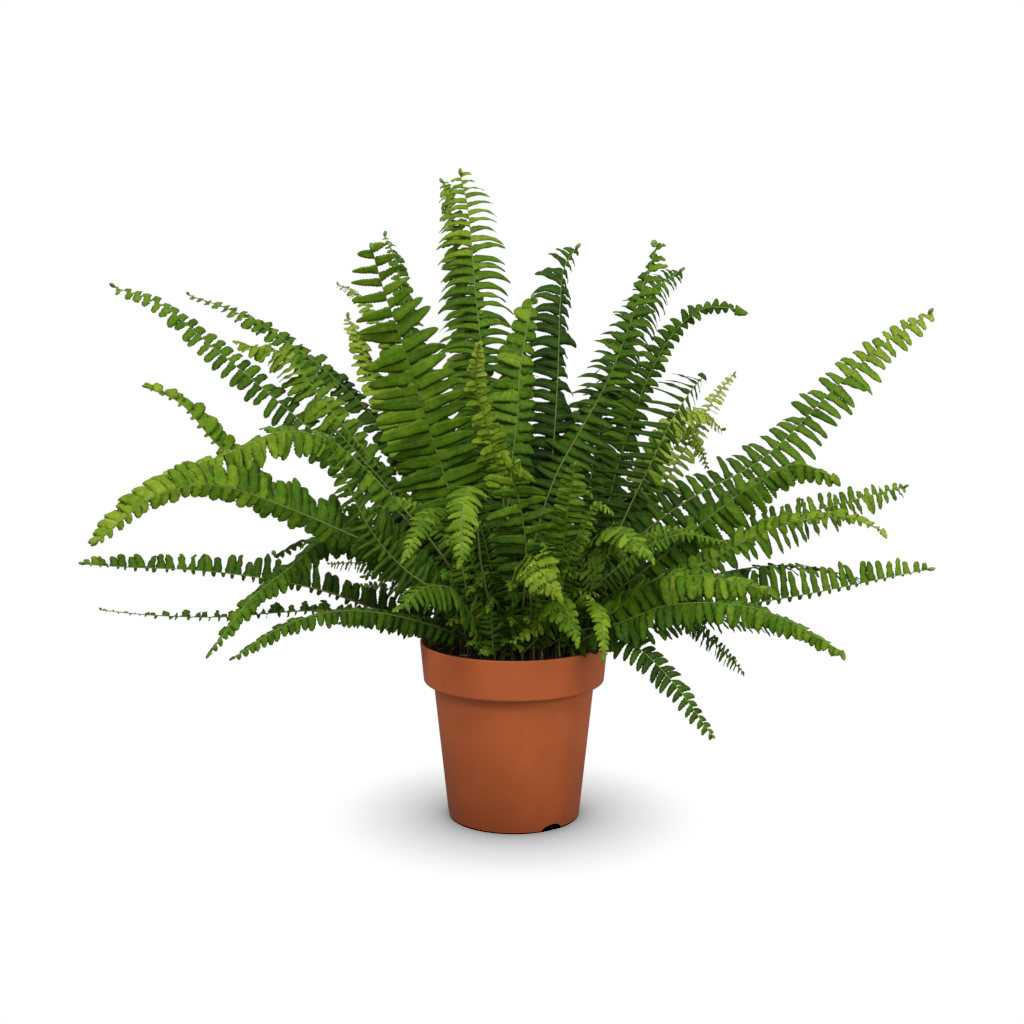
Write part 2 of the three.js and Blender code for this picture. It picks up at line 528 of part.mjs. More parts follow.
// Each leaflet takes the first pose that is clear of all that stands: as it grows, turned aside, or shorter.
const TURNS = [0, 15, -15, 32, -32, 48, -48].map(degToRad);
const MOST_TURN = degToRad(34); // between one leaflet's turn and the next one's
const MOST_FOLD = degToRad(60);
const SIZES = [1, 0.72, 0.48];
const ROOT_SHARE = 0.4; // share of a leaflet's length that counts as its root
function leafletBlocks(f, { index, low, high }, { belly, tip }) {
  const root = f.sheet.points[low];
  const end = f.sheet.points[high];
  const [nearRoot, nearEnd] = [root.clone().lerp(belly, ROOT_SHARE), end.clone().lerp(tip, ROOT_SHARE)];
  return [
    block(f, index, [root, belly, tip], LEAF_HALF, [nearRoot, belly, tip]),
    block(f, index, [root, tip, end], LEAF_HALF, [nearRoot, tip, nearEnd]),
  ];
}
function grow(f) {
  const lastTurn = { 1: 0, [-1]: 0 };
  for (const leaf of f.leaflets) {
    const turns = TURNS.filter(
      (turn) => Math.abs(turn - lastTurn[leaf.sign]) < MOST_TURN && Math.abs(leaf.fold + turn) < MOST_FOLD);
    const poses = SIZES.flatMap((size) => turns.map((turn) => leafletShape(leaf, turn, size)));
    const pose = poses.find((p) => leafletBlocks(f, leaf, p).every(isClear));
    lastTurn[leaf.sign] = pose ? pose.turn : 0;
    if (!pose) continue;
    leafletBlocks(f, leaf, pose).forEach(stand);
    const belly = addPoint(f.sheet, pose.belly, LEAF_HALF, pose.over);
    const tip = addPoint(f.sheet, pose.tip, LEAF_HALF, pose.over);
    const faces = [[leaf.low, belly, tip], [leaf.low, tip, leaf.high]];
    f.sheet.faces.push(...faces.map((face) => (leaf.sign > 0 ? face : face.toReversed())));
  }
}

// A closed solid from a sheet: its faces on both sides, half a thickness off, and a wall along its outline.
function thicken({ points, halves, ups, faces }) {
  const count = points.length;
  const position = [];
  for (const sign of [1, -1]) {
    points.forEach((p, i) => position.push(...p.clone().addScaledVector(ups[i], sign * halves[i])));
  }
  const index = [];
  const edges = new Map();
  for (const [a, b, c] of faces) {
    index.push(a, b, c, c + count, b + count, a + count);
    for (const [from, to] of [[a, b], [b, c], [c, a]]) edges.set(`${from},${to}`, [from, to]);
  }
  for (const [from, to] of edges.values()) {
    if (edges.has(`${to},${from}`)) continue;
    index.push(to, from, from + count, to, from + count, to + count);
  }
  const geometry = new THREE.BufferGeometry();
  geometry.setAttribute('position', new THREE.Float32BufferAttribute(position, 3));
  geometry.setIndex(index);
  geometry.computeVertexNormals();
  return geometry;
}

// ---- Solids to cut, and lathed and upright shapes ----
function solid(geometry) {
  const bare = geometry.clone();
  for (const name of Object.keys(bare.attributes)) if (name !== 'position') bare.deleteAttribute(name);
  const merged = mergeVertices(bare, 1e-3);
  return new wasm.Manifold(new wasm.Mesh({
    numProp: 3,
    vertProperties: new Float32Array(merged.attributes.position.array),
    triVerts: new Uint32Array(merged.index.array),
  }));
}
function geometryOf(manifold) {
  const mesh = manifold.getMesh();
  const geometry = new THREE.BufferGeometry();
  geometry.setAttribute('position', new THREE.BufferAttribute(mesh.vertProperties, 3));
  geometry.setIndex(new THREE.BufferAttribute(mesh.triVerts, 1));
  geometry.computeVertexNormals();
  return geometry;
}
const upright = (geometry) => geometry.rotateX(Math.PI / 2);
const lathe = (profile) =>
  upright(new THREE.LatheGeometry(profile.map(([r, z]) => new THREE.Vector2(r, z)), POT_SIDES));

// ---- Pot: a thin shell with a collar, on a foot ring with drain notches and a pad in the middle ----
const COLLAR_FOOT_Z = POT_HEIGHT - COLLAR_HEIGHT;
const FLOOR_TOP = FLOOR_LIFT + WALL;

function potGeometry() {
  const ringInside = FOOT_RADIUS - FOOT_RING_WIDTH;
  let pot = solid(lathe([
    [0, 0],
    [PAD_RADIUS, 0],
    [PAD_RADIUS + 1, FLOOR_LIFT],
    [ringInside, FLOOR_LIFT],
    [ringInside, 0],
    [FOOT_RADIUS - EDGE, 0],
    [FOOT_RADIUS, EDGE],
    [NECK_RADIUS, COLLAR_FOOT_Z],
    [COLLAR_FOOT_RADIUS - EDGE, COLLAR_FOOT_Z],
    [COLLAR_FOOT_RADIUS, COLLAR_FOOT_Z + EDGE],
    [RIM_RADIUS, POT_HEIGHT - EDGE],
    [RIM_RADIUS - EDGE, POT_HEIGHT],
    [RIM_RADIUS - WALL, POT_HEIGHT],
    [COLLAR_FOOT_RADIUS - WALL, COLLAR_FOOT_Z + WALL],
    [NECK_RADIUS - WALL, COLLAR_FOOT_Z + WALL],
    [FOOT_RADIUS - WALL, FLOOR_TOP],
    [0, FLOOR_TOP],
  ]));
  for (const degrees of NOTCH_ANGLES) {
    const notch = new THREE.CylinderGeometry(1, 1, 3 * FOOT_RING_WIDTH, 10);
    notch.scale(NOTCH_WIDTH / 2, 1, NOTCH_HEIGHT).translate(0, FOOT_RADIUS, 0);
    pot = pot.subtract(solid(notch.rotateZ(degToRad(degrees - 90))));
  }
  for (let i = 0; i < DRAIN_HOLES; i++) {
    const angle = ((i + 0.5) * 2 * Math.PI) / DRAIN_HOLES;
    const drain = upright(new THREE.CylinderGeometry(DRAIN_RADIUS, DRAIN_RADIUS, 3 * FLOOR_TOP, 8));
    drain.translate(DRAIN_CIRCLE * Math.cos(angle), DRAIN_CIRCLE * Math.sin(angle), 0);
    pot = pot.subtract(solid(drain));
  }
  return geometryOf(pot);
}

// ---- Soil: it fills the pot, and each stem stands in a plain hole in it ----
function soilGeometry() {
  const off = WALL + SOIL_GAP;
  const wall = (z) => mapLinear(z, COLLAR_FOOT_Z, POT_HEIGHT, COLLAR_FOOT_RADIUS, RIM_RADIUS);
  const wallAt = (z) => wall(z) - off - FACET_GAP;
  const ledge = COLLAR_FOOT_Z + WALL + SOIL_GAP;
  let soil = solid(lathe([
    [0, FLOOR_TOP + SOIL_GAP],
    [FOOT_RADIUS - off, FLOOR_TOP + SOIL_GAP],
    [NECK_RADIUS - off, COLLAR_FOOT_Z],
    [NECK_RADIUS - off, ledge],
    [wallAt(ledge), ledge],
    [wallAt(SOIL_RIM_Z), SOIL_RIM_Z],
    [MOUND_RADIUS, soilTop(MOUND_RADIUS, 0)],
    [0, soilTop(0, 0)],
  ]));
  for (const { seat } of FRONDS) {
    const foot = soilTop(seat.x, seat.y) - STEM_DEPTH - SOIL_GAP;
    const hole = upright(new THREE.CylinderGeometry(HOLE_RADIUS, HOLE_RADIUS, 2 * STEM_DEPTH, 4));
    soil = soil.subtract(solid(hole.rotateZ(Math.PI / 4).translate(seat.x, seat.y, foot + STEM_DEPTH)));
  }
  return geometryOf(soil);
}

// ---- The plant ----
takeSeats();
for (const f of FRONDS) f.line = centreLine(f);
settle();
FRONDS.forEach(layOut);

const clay = new THREE.MeshStandardMaterial({ color: 0xa85a32, roughness: 0.55, metalness: 0 });
const earth = new THREE.MeshStandardMaterial({ color: 0x1f140c, roughness: 1, metalness: 0 });
const leaf = new THREE.MeshStandardMaterial({ color: 0x3f7a1c, roughness: 0.5, metalness: 0 });

const group = new THREE.Group();
function add(name, geometry, material) {
  const mesh = new THREE.Mesh(geometry, material);
  mesh.name = name;
  group.add(mesh);
}
add('pot', potGeometry(), clay);
add('soil', soilGeometry(), earth);
for (const mesh of group.children) standGeometry(mesh.name, mesh.geometry);
for (const f of FRONDS) {
  f.sheet.faces.forEach((face, i) => {
    const triangle = face.map((k) => f.sheet.points[k]);
    stand(block(f, Math.ceil((i + 1) / 2), triangle, STEM_HALF)); // two faces to each step of the rib
  });
}
FRONDS.forEach(grow);
for (const f of FRONDS) add(`frond_${f.name}`, thicken(f.sheet), leaf);

export default group;
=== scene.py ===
"""A potted sword fern in Blender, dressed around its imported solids.

Lengths are in millimetres until a mesh is made, which is in metres. The fronds follow the same routes as the
solids that they replace, worked out here from the same numbers.
"""
import math
import random
from functools import cache
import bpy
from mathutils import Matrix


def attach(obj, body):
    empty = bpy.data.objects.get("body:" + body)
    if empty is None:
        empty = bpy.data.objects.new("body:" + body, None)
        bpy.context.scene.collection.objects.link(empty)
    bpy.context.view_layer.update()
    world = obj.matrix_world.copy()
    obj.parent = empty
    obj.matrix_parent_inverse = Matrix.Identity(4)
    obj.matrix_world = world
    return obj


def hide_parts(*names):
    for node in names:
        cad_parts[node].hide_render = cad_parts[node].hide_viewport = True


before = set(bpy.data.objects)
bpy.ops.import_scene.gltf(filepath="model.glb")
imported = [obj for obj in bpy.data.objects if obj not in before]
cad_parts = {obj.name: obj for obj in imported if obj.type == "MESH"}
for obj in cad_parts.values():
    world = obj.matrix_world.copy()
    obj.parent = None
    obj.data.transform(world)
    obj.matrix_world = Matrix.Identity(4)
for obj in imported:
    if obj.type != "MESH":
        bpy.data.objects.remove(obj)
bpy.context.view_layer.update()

from types import SimpleNamespace

import bmesh
import bpy
import numpy as np
from mathutils import Matrix, Vector, noise

MM = 0.001
TINY = 1e-6

# ---- Sizes shared with the solids ----
POT_HEIGHT = 124
RIM_RADIUS = 65  # outside, at the top of the collar
COLLAR_HEIGHT = 28
COLLAR_FOOT_Z = POT_HEIGHT - COLLAR_HEIGHT
COLLAR_FOOT_RADIUS = 62.6
NECK_RADIUS = 55.8  # outside, just under the collar
FOOT_RADIUS = 45.7
WALL = 1.6
FOOT_RING_WIDTH = 3
PAD_RADIUS = 14  # the pad in the middle of the underside
FLOOR_LIFT = 2.5  # the floor's height between the pad and the ring
FLOOR_TOP = FLOOR_LIFT + WALL
NOTCH_ANGLES = [-55, 65, 185]
NOTCH_WIDTH = 16
NOTCH_HEIGHT = 3.8
DRAIN_HOLES = 4
DRAIN_RADIUS = 4
DRAIN_CIRCLE = 27
SOIL_RIM_Z = 114
SOIL_MOUND = 3
STEM_DEPTH = 8
STEM_HALF = 0.95
BARE_LENGTH = 34  # bare stem, from its foot, at least
SEAT_RADIUS = 42  # stems leave the soil inside this radius
SEAT_PULL = 0.6  # a seat is sought at this share of the way from the middle to the route's low end
SEAT_ROUNDS = 12
GOLDEN_ANGLE = math.radians(137.508)
STEM_RISE = 8  # a stem's straight stretch above the soil
STEM_CLEARANCE = 6  # between the centre lines of two stems
RIM_CLEARANCE = 4  # between a stem's centre line and the top of the rim
OVER_RIM = dict(risen=8, falls=4, fallen=14)  # distances inside and outside the rim's radius
SETTLE_ROUNDS = 90
LINE_STEPS = 31
FIRM_STEPS = (2, 5)  # a line's points are fixed up to the one, and free from the other
PARALLEL = 1e-9
TOUCHING = 1e-12
FRAMES = 40  # steps along a frond in which its upper side turns
TURN_PER_FRAME = 0.25  # share of what is left to turn
SQUARE = (0.2, 0.6)  # a rib that stands less square to its face than this doesn't turn to it, or less
BLADE_FOOT = 0.5
BLADE_SWELL = 0.28
BLADE_ROUNDING = 0.75
BLADE_LEAST = 0.2
DELTOID_ROUNDING = 0.85

# ---- The reference photograph, 1024 pixels square ----
PHOTO_SIZE = 1024
PHOTO_MIDDLE = 512
PHOTO_FOCAL = 1564
PHOTO_TILT = math.radians(8.1)
EYE = np.array([-1.3, -1060.0, 364.0])
SENSOR = 36


def smoothstep(x, low, high):
    t = np.clip((np.asarray(x, float) - low) / (high - low), 0, 1)
    return t * t * (3 - 2 * t)


def unit(v):
    v = np.asarray(v, float)
    return v / np.linalg.norm(v, axis=-1, keepdims=True)


# ---- Routes of the fronds ----
def seen_at(column, row, depth):
    """The point that the photograph shows at a column and row, at a depth in mm behind the pot's axis."""
    forward = np.array([0, math.cos(PHOTO_TILT), -math.sin(PHOTO_TILT)])
    up = np.array([0, math.sin(PHOTO_TILT), math.cos(PHOTO_TILT)])
    ray = forward + up * (PHOTO_MIDDLE - row) / PHOTO_FOCAL
    ray[0] = (column - PHOTO_MIDDLE) / PHOTO_FOCAL
    return EYE + ray * (depth - EYE[1]) / ray[1]


FRONDS = []
SHAPE = dict(
    face_tip=None,  # where its upper side looks at its tip, where that isn't its face
    bare=0.15,  # the share of its length that is bare stem, at least
    full=2.1,  # how full its tip is: at 1 it narrows evenly, and above 1 it keeps its width further up
    deltoid=False,  # whether it is widest at its lowest leaflets
    fold=(0, 0),  # degrees by which its left and right leaflets rise from its plane. Below 0 they hang
    sides=(1, 1),  # how long its left and right leaflets are, as shares of the blade's half width
)
LOOKS = dict(
    tone=(0.42, 0.6),  # from 0, dark, to 1, young and pale, at its foot and at its tip
    twist=16,  # how far its leaflets turn their upper sides to the sky, in degrees
    gap=0.06,  # the share of the pitch that stays open between leaflets. Below 0 they overlap
    pitch=None,  # mm between two pairs of leaflets, where it isn't the usual one for its width
    crowd=0.15,  # how much nearer its leaflets stand at its tip, and further apart at its foot
    open_tip=0.0,  # how much narrower the leaflets at its tip are
    point=3.6,  # how blunt a leaflet's tip is
    taper=0.14,  # how much narrower a leaflet is near its tip than at its foot
    lean=0.15,  # how far a leaflet leans to the frond's tip, as a share of its length
    arch=0.0,  # how far it bends back again
    weight=0.2,  # how far a leaflet's tip hangs, as a share of its length
    teeth=0.07,  # how deep its edge is toothed, as a share of its half width
    unruly=1.2,  # how uneven its leaflets are
    crozier=True,  # whether the frond's tip is still curled up
)
SICKLES = dict(twist=12, lean=0.36, arch=0.42, taper=0.38, point=2.3, weight=0.1)
FINGERS = dict(twist=8, lean=0.02, taper=0.05, point=6)
YOUNG = dict(twist=5, point=2.6, teeth=0.16, crozier=False, crowd=0.25)
OPEN = dict(twist=10, crozier=False)


def made(name, half, face, way, **more):
    """A frond: half its width, where its upper side looks, and its route. SHAPE and LOOKS tell the rest."""
    f = SimpleNamespace(name=name, half=half, face=face, way=np.array(way), **{**SHAPE, **LOOKS, **more})
    f.face_tip = f.face_tip or face
    return f


def frond(name, half, face, seen, **more):
    """One frond of the photograph, with its route from low to tip as columns, rows and depths."""
    FRONDS.append(made(name, half, face, [seen_at(*spot) for spot in seen], **more))


# Upright fronds
frond("top", 27, [0.2, -1, 0.1],
      [[500, 540, 22], [491, 440, 42], [484, 370, 66], [476, 300, 91], [468, 210, 118], [460, 174, 140]],
      full=6, **SICKLES, tone=(0.3, 0.74), pitch=7.4, crowd=0, open_tip=0.35)
frond("top_left", 18, [-0.4, -1, 0],
      [[484, 500, 50], [470, 380, 77], [459, 280, 104], [450, 215, 128], [443, 182, 150]],
      full=3.5, tone=(0.6, 0.8), gap=-0.2)
frond("tall_left", 31, [0.1, -1, 0.1],
      [[470, 560, -8], [448, 487, -18], [423, 410, -31], [400, 336, -47], [383, 288, -60], [371, 245, -74]],
      full=4, tone=(0.42, 0.62), twist=8, gap=-0.15, taper=0.3, point=2.6,
      lean=0.1, weight=0.12, pitch=8.2, crowd=-0.25, open_tip=0.5, teeth=0.09)
frond("tall_left_behind", 18, [0.5, -0.85, 0],
      [[462, 530, 26], [432, 420, 44], [407, 315, 64], [395, 258, 83], [384, 236, 105]],
      fold=(-28, 0), sides=(0.6, 1), tone=(0.2, 0.48), point=5, gap=-0.1)
frond("wisp_left_high", 11, [0, -0.6, 0.8],
      [[448, 500, 60], [408, 390, 83], [374, 316, 108], [354, 292, 133], [338, 285, 160]],
      tone=(0.4, 0.78), gap=-0.2)
frond("wisp_left", 17, [0.5, -0.85, 0],
      [[440, 510, 44], [398, 420, 59], [371, 372, 76], [357, 335, 94], [347, 317, 112]],
      tone=(0.6, 0.85), gap=-0.5)
frond("middle_bright", 25, [-0.1, -1, 0.1],
      [[505, 545, 2], [511, 470, 7], [517, 420, 13], [520, 370, 21], [526, 335, 30], [533, 298, 40]],
      full=3.5, fold=(0, -30), sides=(1, 0.6), tone=(0.4, 0.54), twist=8, pitch=7.6, crowd=-0.15,
      gap=-0.3, taper=0.25)
frond("middle_young", 11, [0, -1, 0.2],
      [[507, 545, -12], [499, 475, -22], [488, 430, -35], [476, 385, -49], [479, 343, -62]],
      bare=0.5, tone=(0.7, 0.85), gap=-0.2, pitch=4.2, teeth=0.12, unruly=2.4)
frond("middle_dark", 27, [0.3, -1, 0.2],
      [[544, 540, 20], [553, 450, 35], [558, 370, 51], [560, 305, 68], [564, 268, 86], [576, 248, 104]],
      full=5, fold=(0, -20), sides=(1, 0.65), **SICKLES, tone=(0.08, 0.25), pitch=8.2, gap=-0.15,
      crowd=0, open_tip=0.2)
frond("right_tall", 24, [0, -1, 0],
      [[530, 560, 8], [554, 480, 16], [582, 428, 26], [602, 392, 36], [618, 357, 46], [642, 290, 56],
       [657, 245, 66]],
      face_tip=[-0.9, -0.5, 0], full=4, tone=(0.28, 0.52), twist=18, taper=0.4, point=2, gap=-0.1,
      pitch=6.6, crowd=-0.3, open_tip=0.1)
frond("right_tall_behind", 24, [0.2, -1, 0.2],
      [[578, 540, 30], [597, 440, 48], [614, 372, 66], [637, 323, 84], [656, 289, 104], [680, 271, 124]],
      full=3, **SICKLES, tone=(0.18, 0.36), gap=0.1, pitch=6.2)
frond("right_arch", 24, [-0.2, -1, 0.3],
      [[597, 540, 6], [618, 465, 4], [633, 418, -3], [648, 378, -10], [676, 330, -18], [706, 308, -26],
       [735, 309, -34]],
      full=1.2, fold=(0, -30), sides=(1, 0.6), **SICKLES, crozier=False, tone=(0.2, 0.46), pitch=6.2, gap=0)
frond("right_dark", 28, [-0.2, -1, 0],
      [[603, 565, -10], [630, 506, -13], [654, 457, -15], [672, 420, -13], [690, 392, 1], [702, 378, 24]],
      full=8, fold=(0, -25), sides=(1, 0.4), tone=(0.08, 0.22), gap=0.36, pitch=7.7, crowd=0, lean=-0.3,
      arch=0.05, taper=0.38, point=2.3, weight=0.06, crozier=False)
frond("right_pale", 12, [0, -1, 0.3],
      [[628, 560, 52], [664, 485, 76], [697, 428, 102], [714, 399, 125], [734, 374, 148]],
      tone=(0.75, 0.95), gap=0.25, point=5, taper=0.05, pitch=6.4)
frond("right_pale_low", 14, [0, -0.75, 0.65],
      [[622, 545, 40], [650, 465, 57], [676, 420, 75], [704, 414, 93], [722, 430, 112]],
      tone=(0.7, 0.9), gap=-0.5)

# Fronds that reach out to the right
frond("right_long", 22, [-0.35, -0.9, 0.35],
      [[586, 592, 0], [628, 546, 9], [685, 502, 24], [762, 459, 45], [832, 391, 69], [884, 344, 87],
       [930, 313, 104]],
      full=3.2, twist=8, lean=0.1, taper=0.3, tone=(0.2, 0.85), gap=0.15, pitch=8.6, crowd=0)
frond("right_long_under", 21, [0, -0.8, 0.6],
      [[604, 600, -18], [660, 558, -26], [716, 512, -35], [757, 483, -42], [795, 464, -48], [831, 476, -56]],
      **OPEN, fold=(-30, -30), tone=(0.3, 0.62), gap=-0.2, teeth=0.12, unruly=1.8)
frond("right_mid_behind", 17, [0, -0.9, 0.4],
      [[622, 606, 26], [700, 560, 39], [770, 525, 52], [818, 510, 66], [868, 496, 78], [905, 487, 92]],
      full=3.5, tone=(0.22, 0.66), gap=0.18, pitch=6.8, unruly=1.7)
frond("right_mid", 15, [0, -0.75, 0.65],
      [[618, 610, -32], [700, 566, -47], [760, 534, -59], [800, 521, -71], [845, 517, -84], [881, 530, -98]],
      **OPEN, full=2.5, fold=(0, -15), sides=(1, 0.4), tone=(0.38, 0.82), gap=-0.5, unruly=2, teeth=0.1,
      pitch=5.6, crowd=-0.1)
frond("right_low", 30, [0.1, -1, 0.15],
      [[616, 622, 4], [690, 612, 10], [760, 602, 18], [818, 592, 26], [875, 580, 36], [930, 569, 46]],
      full=2.4, fold=(0, -30), sides=(1, 0.15), tone=(0.3, 0.64), twist=8, gap=0.2, point=4, pitch=7.6,
      lean=0.02)
frond("right_low_front", 20, [0, -0.75, 0.65],
      [[622, 606, -48], [638, 590, -61], [661, 578, -75], [700, 576, -89], [735, 582, -100],
       [768, 590, -109]],
      **OPEN, full=1.2, fold=(-20, -20), tone=(0.42, 0.68), gap=-0.5, pitch=6.2, unruly=1.8)
frond("right_drop", 15, [0, -0.55, 0.85],
      [[628, 620, -64], [665, 606, -83], [712, 603, -101], [762, 610, -117], [804, 629, -133],
       [840, 651, -150]],
      **OPEN, fold=(-24, -24), tone=(0.36, 0.62), gap=-0.5, pitch=5.2, unruly=1.8)
frond("right_drop_behind", 13, [0, -0.3, 1],
      [[640, 628, 22], [690, 618, 42], [740, 622, 64], [803, 634, 88]], tone=(0.25, 0.45))
frond("right_sprig", 9, [0.3, -0.8, 0.4],
      [[606, 606, 36], [648, 608, 52], [690, 623, 69], [720, 648, 85], [743, 672, 102]],
      bare=0.6, crozier=False, tone=(0.3, 0.55))
frond("right_hanging", 12, [0.2, -0.9, 0.3],
      [[606, 626, -46], [628, 640, -65], [650, 658, -79], [676, 686, -94], [713, 737, -108]],
      tone=(0.2, 0.48), point=4.5, pitch=6.2, gap=0.22)

# Fronds that reach out to the left
frond("left_long", 19, [0.3, -0.85, 0.45],
      [[456, 580, 4], [410, 522, 14], [362, 474, 28], [309, 428, 43], [255, 382, 58], [207, 342, 72],
       [160, 304, 85], [113, 287, 96]],
      full=1.1, **FINGERS, tone=(0.2, 0.68), gap=0.2, pitch=8.3, crowd=0)
frond("left_long_behind", 12, [0.2, -0.55, 0.8],
      [[452, 560, 34], [420, 480, 52], [385, 430, 69], [345, 388, 88], [299, 350, 107], [240, 314, 125],
       [188, 295, 142]],
      full=3, tone=(0.25, 0.6), gap=-0.3, point=6, pitch=7, crowd=-0.1, unruly=1.4)
frond("left_pale_arch", 16, [0, -0.65, 0.75],
      [[450, 570, 20], [404, 500, 28], [350, 434, 38], [316, 392, 50], [288, 358, 61], [238, 343, 74]],
      full=6, fold=(-15, -15), tone=(0.35, 0.75), gap=-0.2, unruly=1.8, crozier=False)
frond("left_mid", 13, [0.3, -0.9, 0.4],
      [[440, 590, -12], [370, 545, -19], [300, 503, -24], [244, 470, -27], [213, 440, -31], [179, 402, -35],
       [144, 387, -40]],
      full=5, bare=0.6, fold=(-10, 0), sides=(0.2, 1), tone=(0.5, 0.8), gap=-0.6, pitch=6,
      crowd=-0.2, unruly=1.6)
frond("left_pale", 14, [0, -0.6, 0.8],
      [[452, 570, -28], [388, 492, -42], [328, 440, -55], [280, 432, -68], [232, 452, -79], [155, 479, -92]],
      full=6, bare=0.42, fold=(-20, -20), crozier=False, tone=(0.45, 0.8), gap=-0.3, teeth=0.12, unruly=1.8)
frond("left_arch", 25, [0.1, -0.95, 0.35],
      [[440, 600, -34], [393, 556, -53], [340, 530, -74], [280, 505, -94], [213, 485, -114],
       [156, 496, -130], [95, 544, -146]],
      full=2.5, fold=(-30, 0), sides=(0.4, 1), tone=(0.28, 0.84), twist=9, gap=-0.4, point=4.5,
      pitch=6.2, crowd=-0.1, teeth=0.1)
frond("left_low", 19, [0, -0.95, 0.35],
      [[440, 622, -2], [381, 610, 1], [324, 591, 7], [262, 578, 13], [194, 570, 21], [126, 567, 28],
       [83, 564, 34]],
      full=4, fold=(-30, 0), sides=(0.2, 1), tone=(0.22, 0.6), gap=0, pitch=7, crowd=0, unruly=1.8)
frond("left_low_thin", 9, [0, -0.5, 0.87],
      [[438, 628, 26], [370, 612, 38], [300, 611, 51], [221, 617, 63], [150, 615, 76], [101, 610, 88]],
      fold=(-30, 20), sides=(0.4, 1), tone=(0.3, 0.6), gap=-0.5, pitch=7.2, crowd=-0.2, unruly=2.5)
frond("left_drop", 12, [-0.1, -0.7, 0.7],
      [[446, 590, -20], [384, 552, -30], [331, 537, -42], [292, 566, -62], [252, 598, -80], [211, 652, -98]],
      **OPEN, fold=(-15, -15), tone=(0.28, 0.52), gap=-0.4, unruly=1.6)
frond("left_drop_low", 10, [0, -0.6, 0.8],
      [[440, 628, -32], [372, 612, -47], [324, 613, -62], [280, 628, -76], [235, 657, -92]],
      **OPEN, fold=(-15, -15), tone=(0.32, 0.5), gap=-0.1)
frond("left_inner", 14, [0.3, -0.9, 0.3],
      [[448, 600, -44], [408, 572, -56], [376, 538, -66], [351, 493, -74], [336, 458, -83], [326, 436, -92]],
      tone=(0.3, 0.5), gap=0.38, pitch=5.2, unruly=2.2)
frond("left_inner_behind", 16, [0.3, -0.8, 0.4],
      [[458, 590, 14], [428, 546, 17], [398, 501, 22], [368, 464, 29], [330, 424, 36]],
      tone=(0.22, 0.42), gap=0.34, pitch=5.2, unruly=2.2)

# Short fronds at the front
frond("front_hanging", 14, [0, 0.4, 0.9],
      [[482, 570, -48], [476, 512, -72], [469, 486, -105], [463, 508, -136], [461, 560, -150]],
      face_tip=[0, -1, 0.3], bare=0.55, **YOUNG, tone=(0.55, 0.72), gap=-0.15, pitch=4.8)
frond("front_hanging_left", 11, [0, 0.4, 0.9],
      [[468, 590, -44], [455, 532, -64], [440, 508, -90], [422, 522, -118], [405, 558, -134]],
      face_tip=[-0.3, -1, 0.3], bare=0.55, **YOUNG, tone=(0.48, 0.66), gap=-0.15, pitch=4.7)
frond("front_stem", 20, [0, -1, 0.2],
      [[522, 625, -34], [526, 550, -45], [519, 500, -56], [511, 470, -69], [520, 460, -84]],
      full=6, bare=0.3, tone=(0.25, 0.85), gap=0.42, pitch=10.9, crowd=0, teeth=0.12, unruly=2)
frond("front_butterfly", 20, [0.1, -1, 0.2],
      [[531, 615, -50], [528, 580, -66], [531, 557, -82], [536, 563, -92], [544, 577, -98], [557, 592, -101]],
      bare=0.68, deltoid=True, **YOUNG, tone=(0.7, 0.78), gap=-2, pitch=5.2)
frond("front_low", 16, [0.1, -1, 0.2],
      [[546, 626, -46], [546, 606, -60], [553, 599, -73], [562, 609, -82], [570, 621, -87], [577, 637, -90]],
      bare=0.5, deltoid=True, **YOUNG, tone=(0.56, 0.68), gap=-1.4, pitch=5)
frond("rim_right", 12, [0.3, -1, 0.3],
      [[584, 612, -36], [594, 602, -62], [602, 620, -88], [604, 656, -100]],
      bare=0.45, deltoid=True, **YOUNG, tone=(0.55, 0.78), gap=-1, pitch=4.6)
frond("left_front_pale", 18, [0, -0.65, 0.75],
      [[472, 616, -48], [450, 588, -72], [424, 588, -93], [402, 606, -112]],
      bare=0.35, fold=(-15, -15), crozier=False, tone=(0.4, 0.58), twist=8, gap=0.1, taper=0.3, point=2.6)
frond("fishbone", 19, [0, -1, 0],
      [[517, 610, -22], [518, 580, -31], [513, 545, -41], [507, 515, -52]],
      full=3, tone=(0.28, 0.36), twist=25, gap=0.1, pitch=4.1, taper=0.4, point=2.4)
frond("fishbone_right", 12, [0, -1, 0],
      [[560, 600, -18], [562, 560, -31], [567, 515, -45], [575, 463, -58]],
      full=5, tone=(0.4, 0.6), gap=0.15, pitch=5.2)
frond("right_front_pale", 13, [-0.5, 0.2, 0.85],
      [[588, 596, -38], [592, 548, -55], [608, 530, -75], [632, 538, -96], [652, 558, -112]],
      face_tip=[0.3, -0.8, 0.6], bare=0.4, **YOUNG, tone=(0.5, 0.66), gap=-1, pitch=5)

# Fronds behind the pot's axis, by the same seeded rule as the solids
BACK = SimpleNamespace(
    count=11,
    seed=41,
    angles=(12, 168),  # of the first and the last, in degrees from +X
    stray=(-3, 3),
    reach=(185, 270),
    rise=(140, 225),
    half=(17, 24),
    route=[(0.26, 0.5), (0.55, 0.92), (0.8, 0.98), (1, 0.72)],  # shares of its reach and of its rise
    lean=0.2,  # how far its upper side looks to the pot
    tones=[(0.25, 0.5), (0.35, 0.6), (0.3, 0.7)],
)
# A steeper frond reaches less far and stands higher, and one to the side stands lower.
STEEP = SimpleNamespace(reach=0.22, low=0.5, rise=0.3, side=0.35)
MULTIPLIER, ADDEND, MODULUS = 1103515245.0, 12345.0, 2147483648.0  # of the solids' random numbers


def drawing(seed):
    """Random numbers from 0 to 1 without end, in doubles as in the solids, since their products pass 2^53."""
    while True:
        seed = math.fmod(seed * MULTIPLIER + ADDEND, MODULUS)
        yield seed / MODULUS


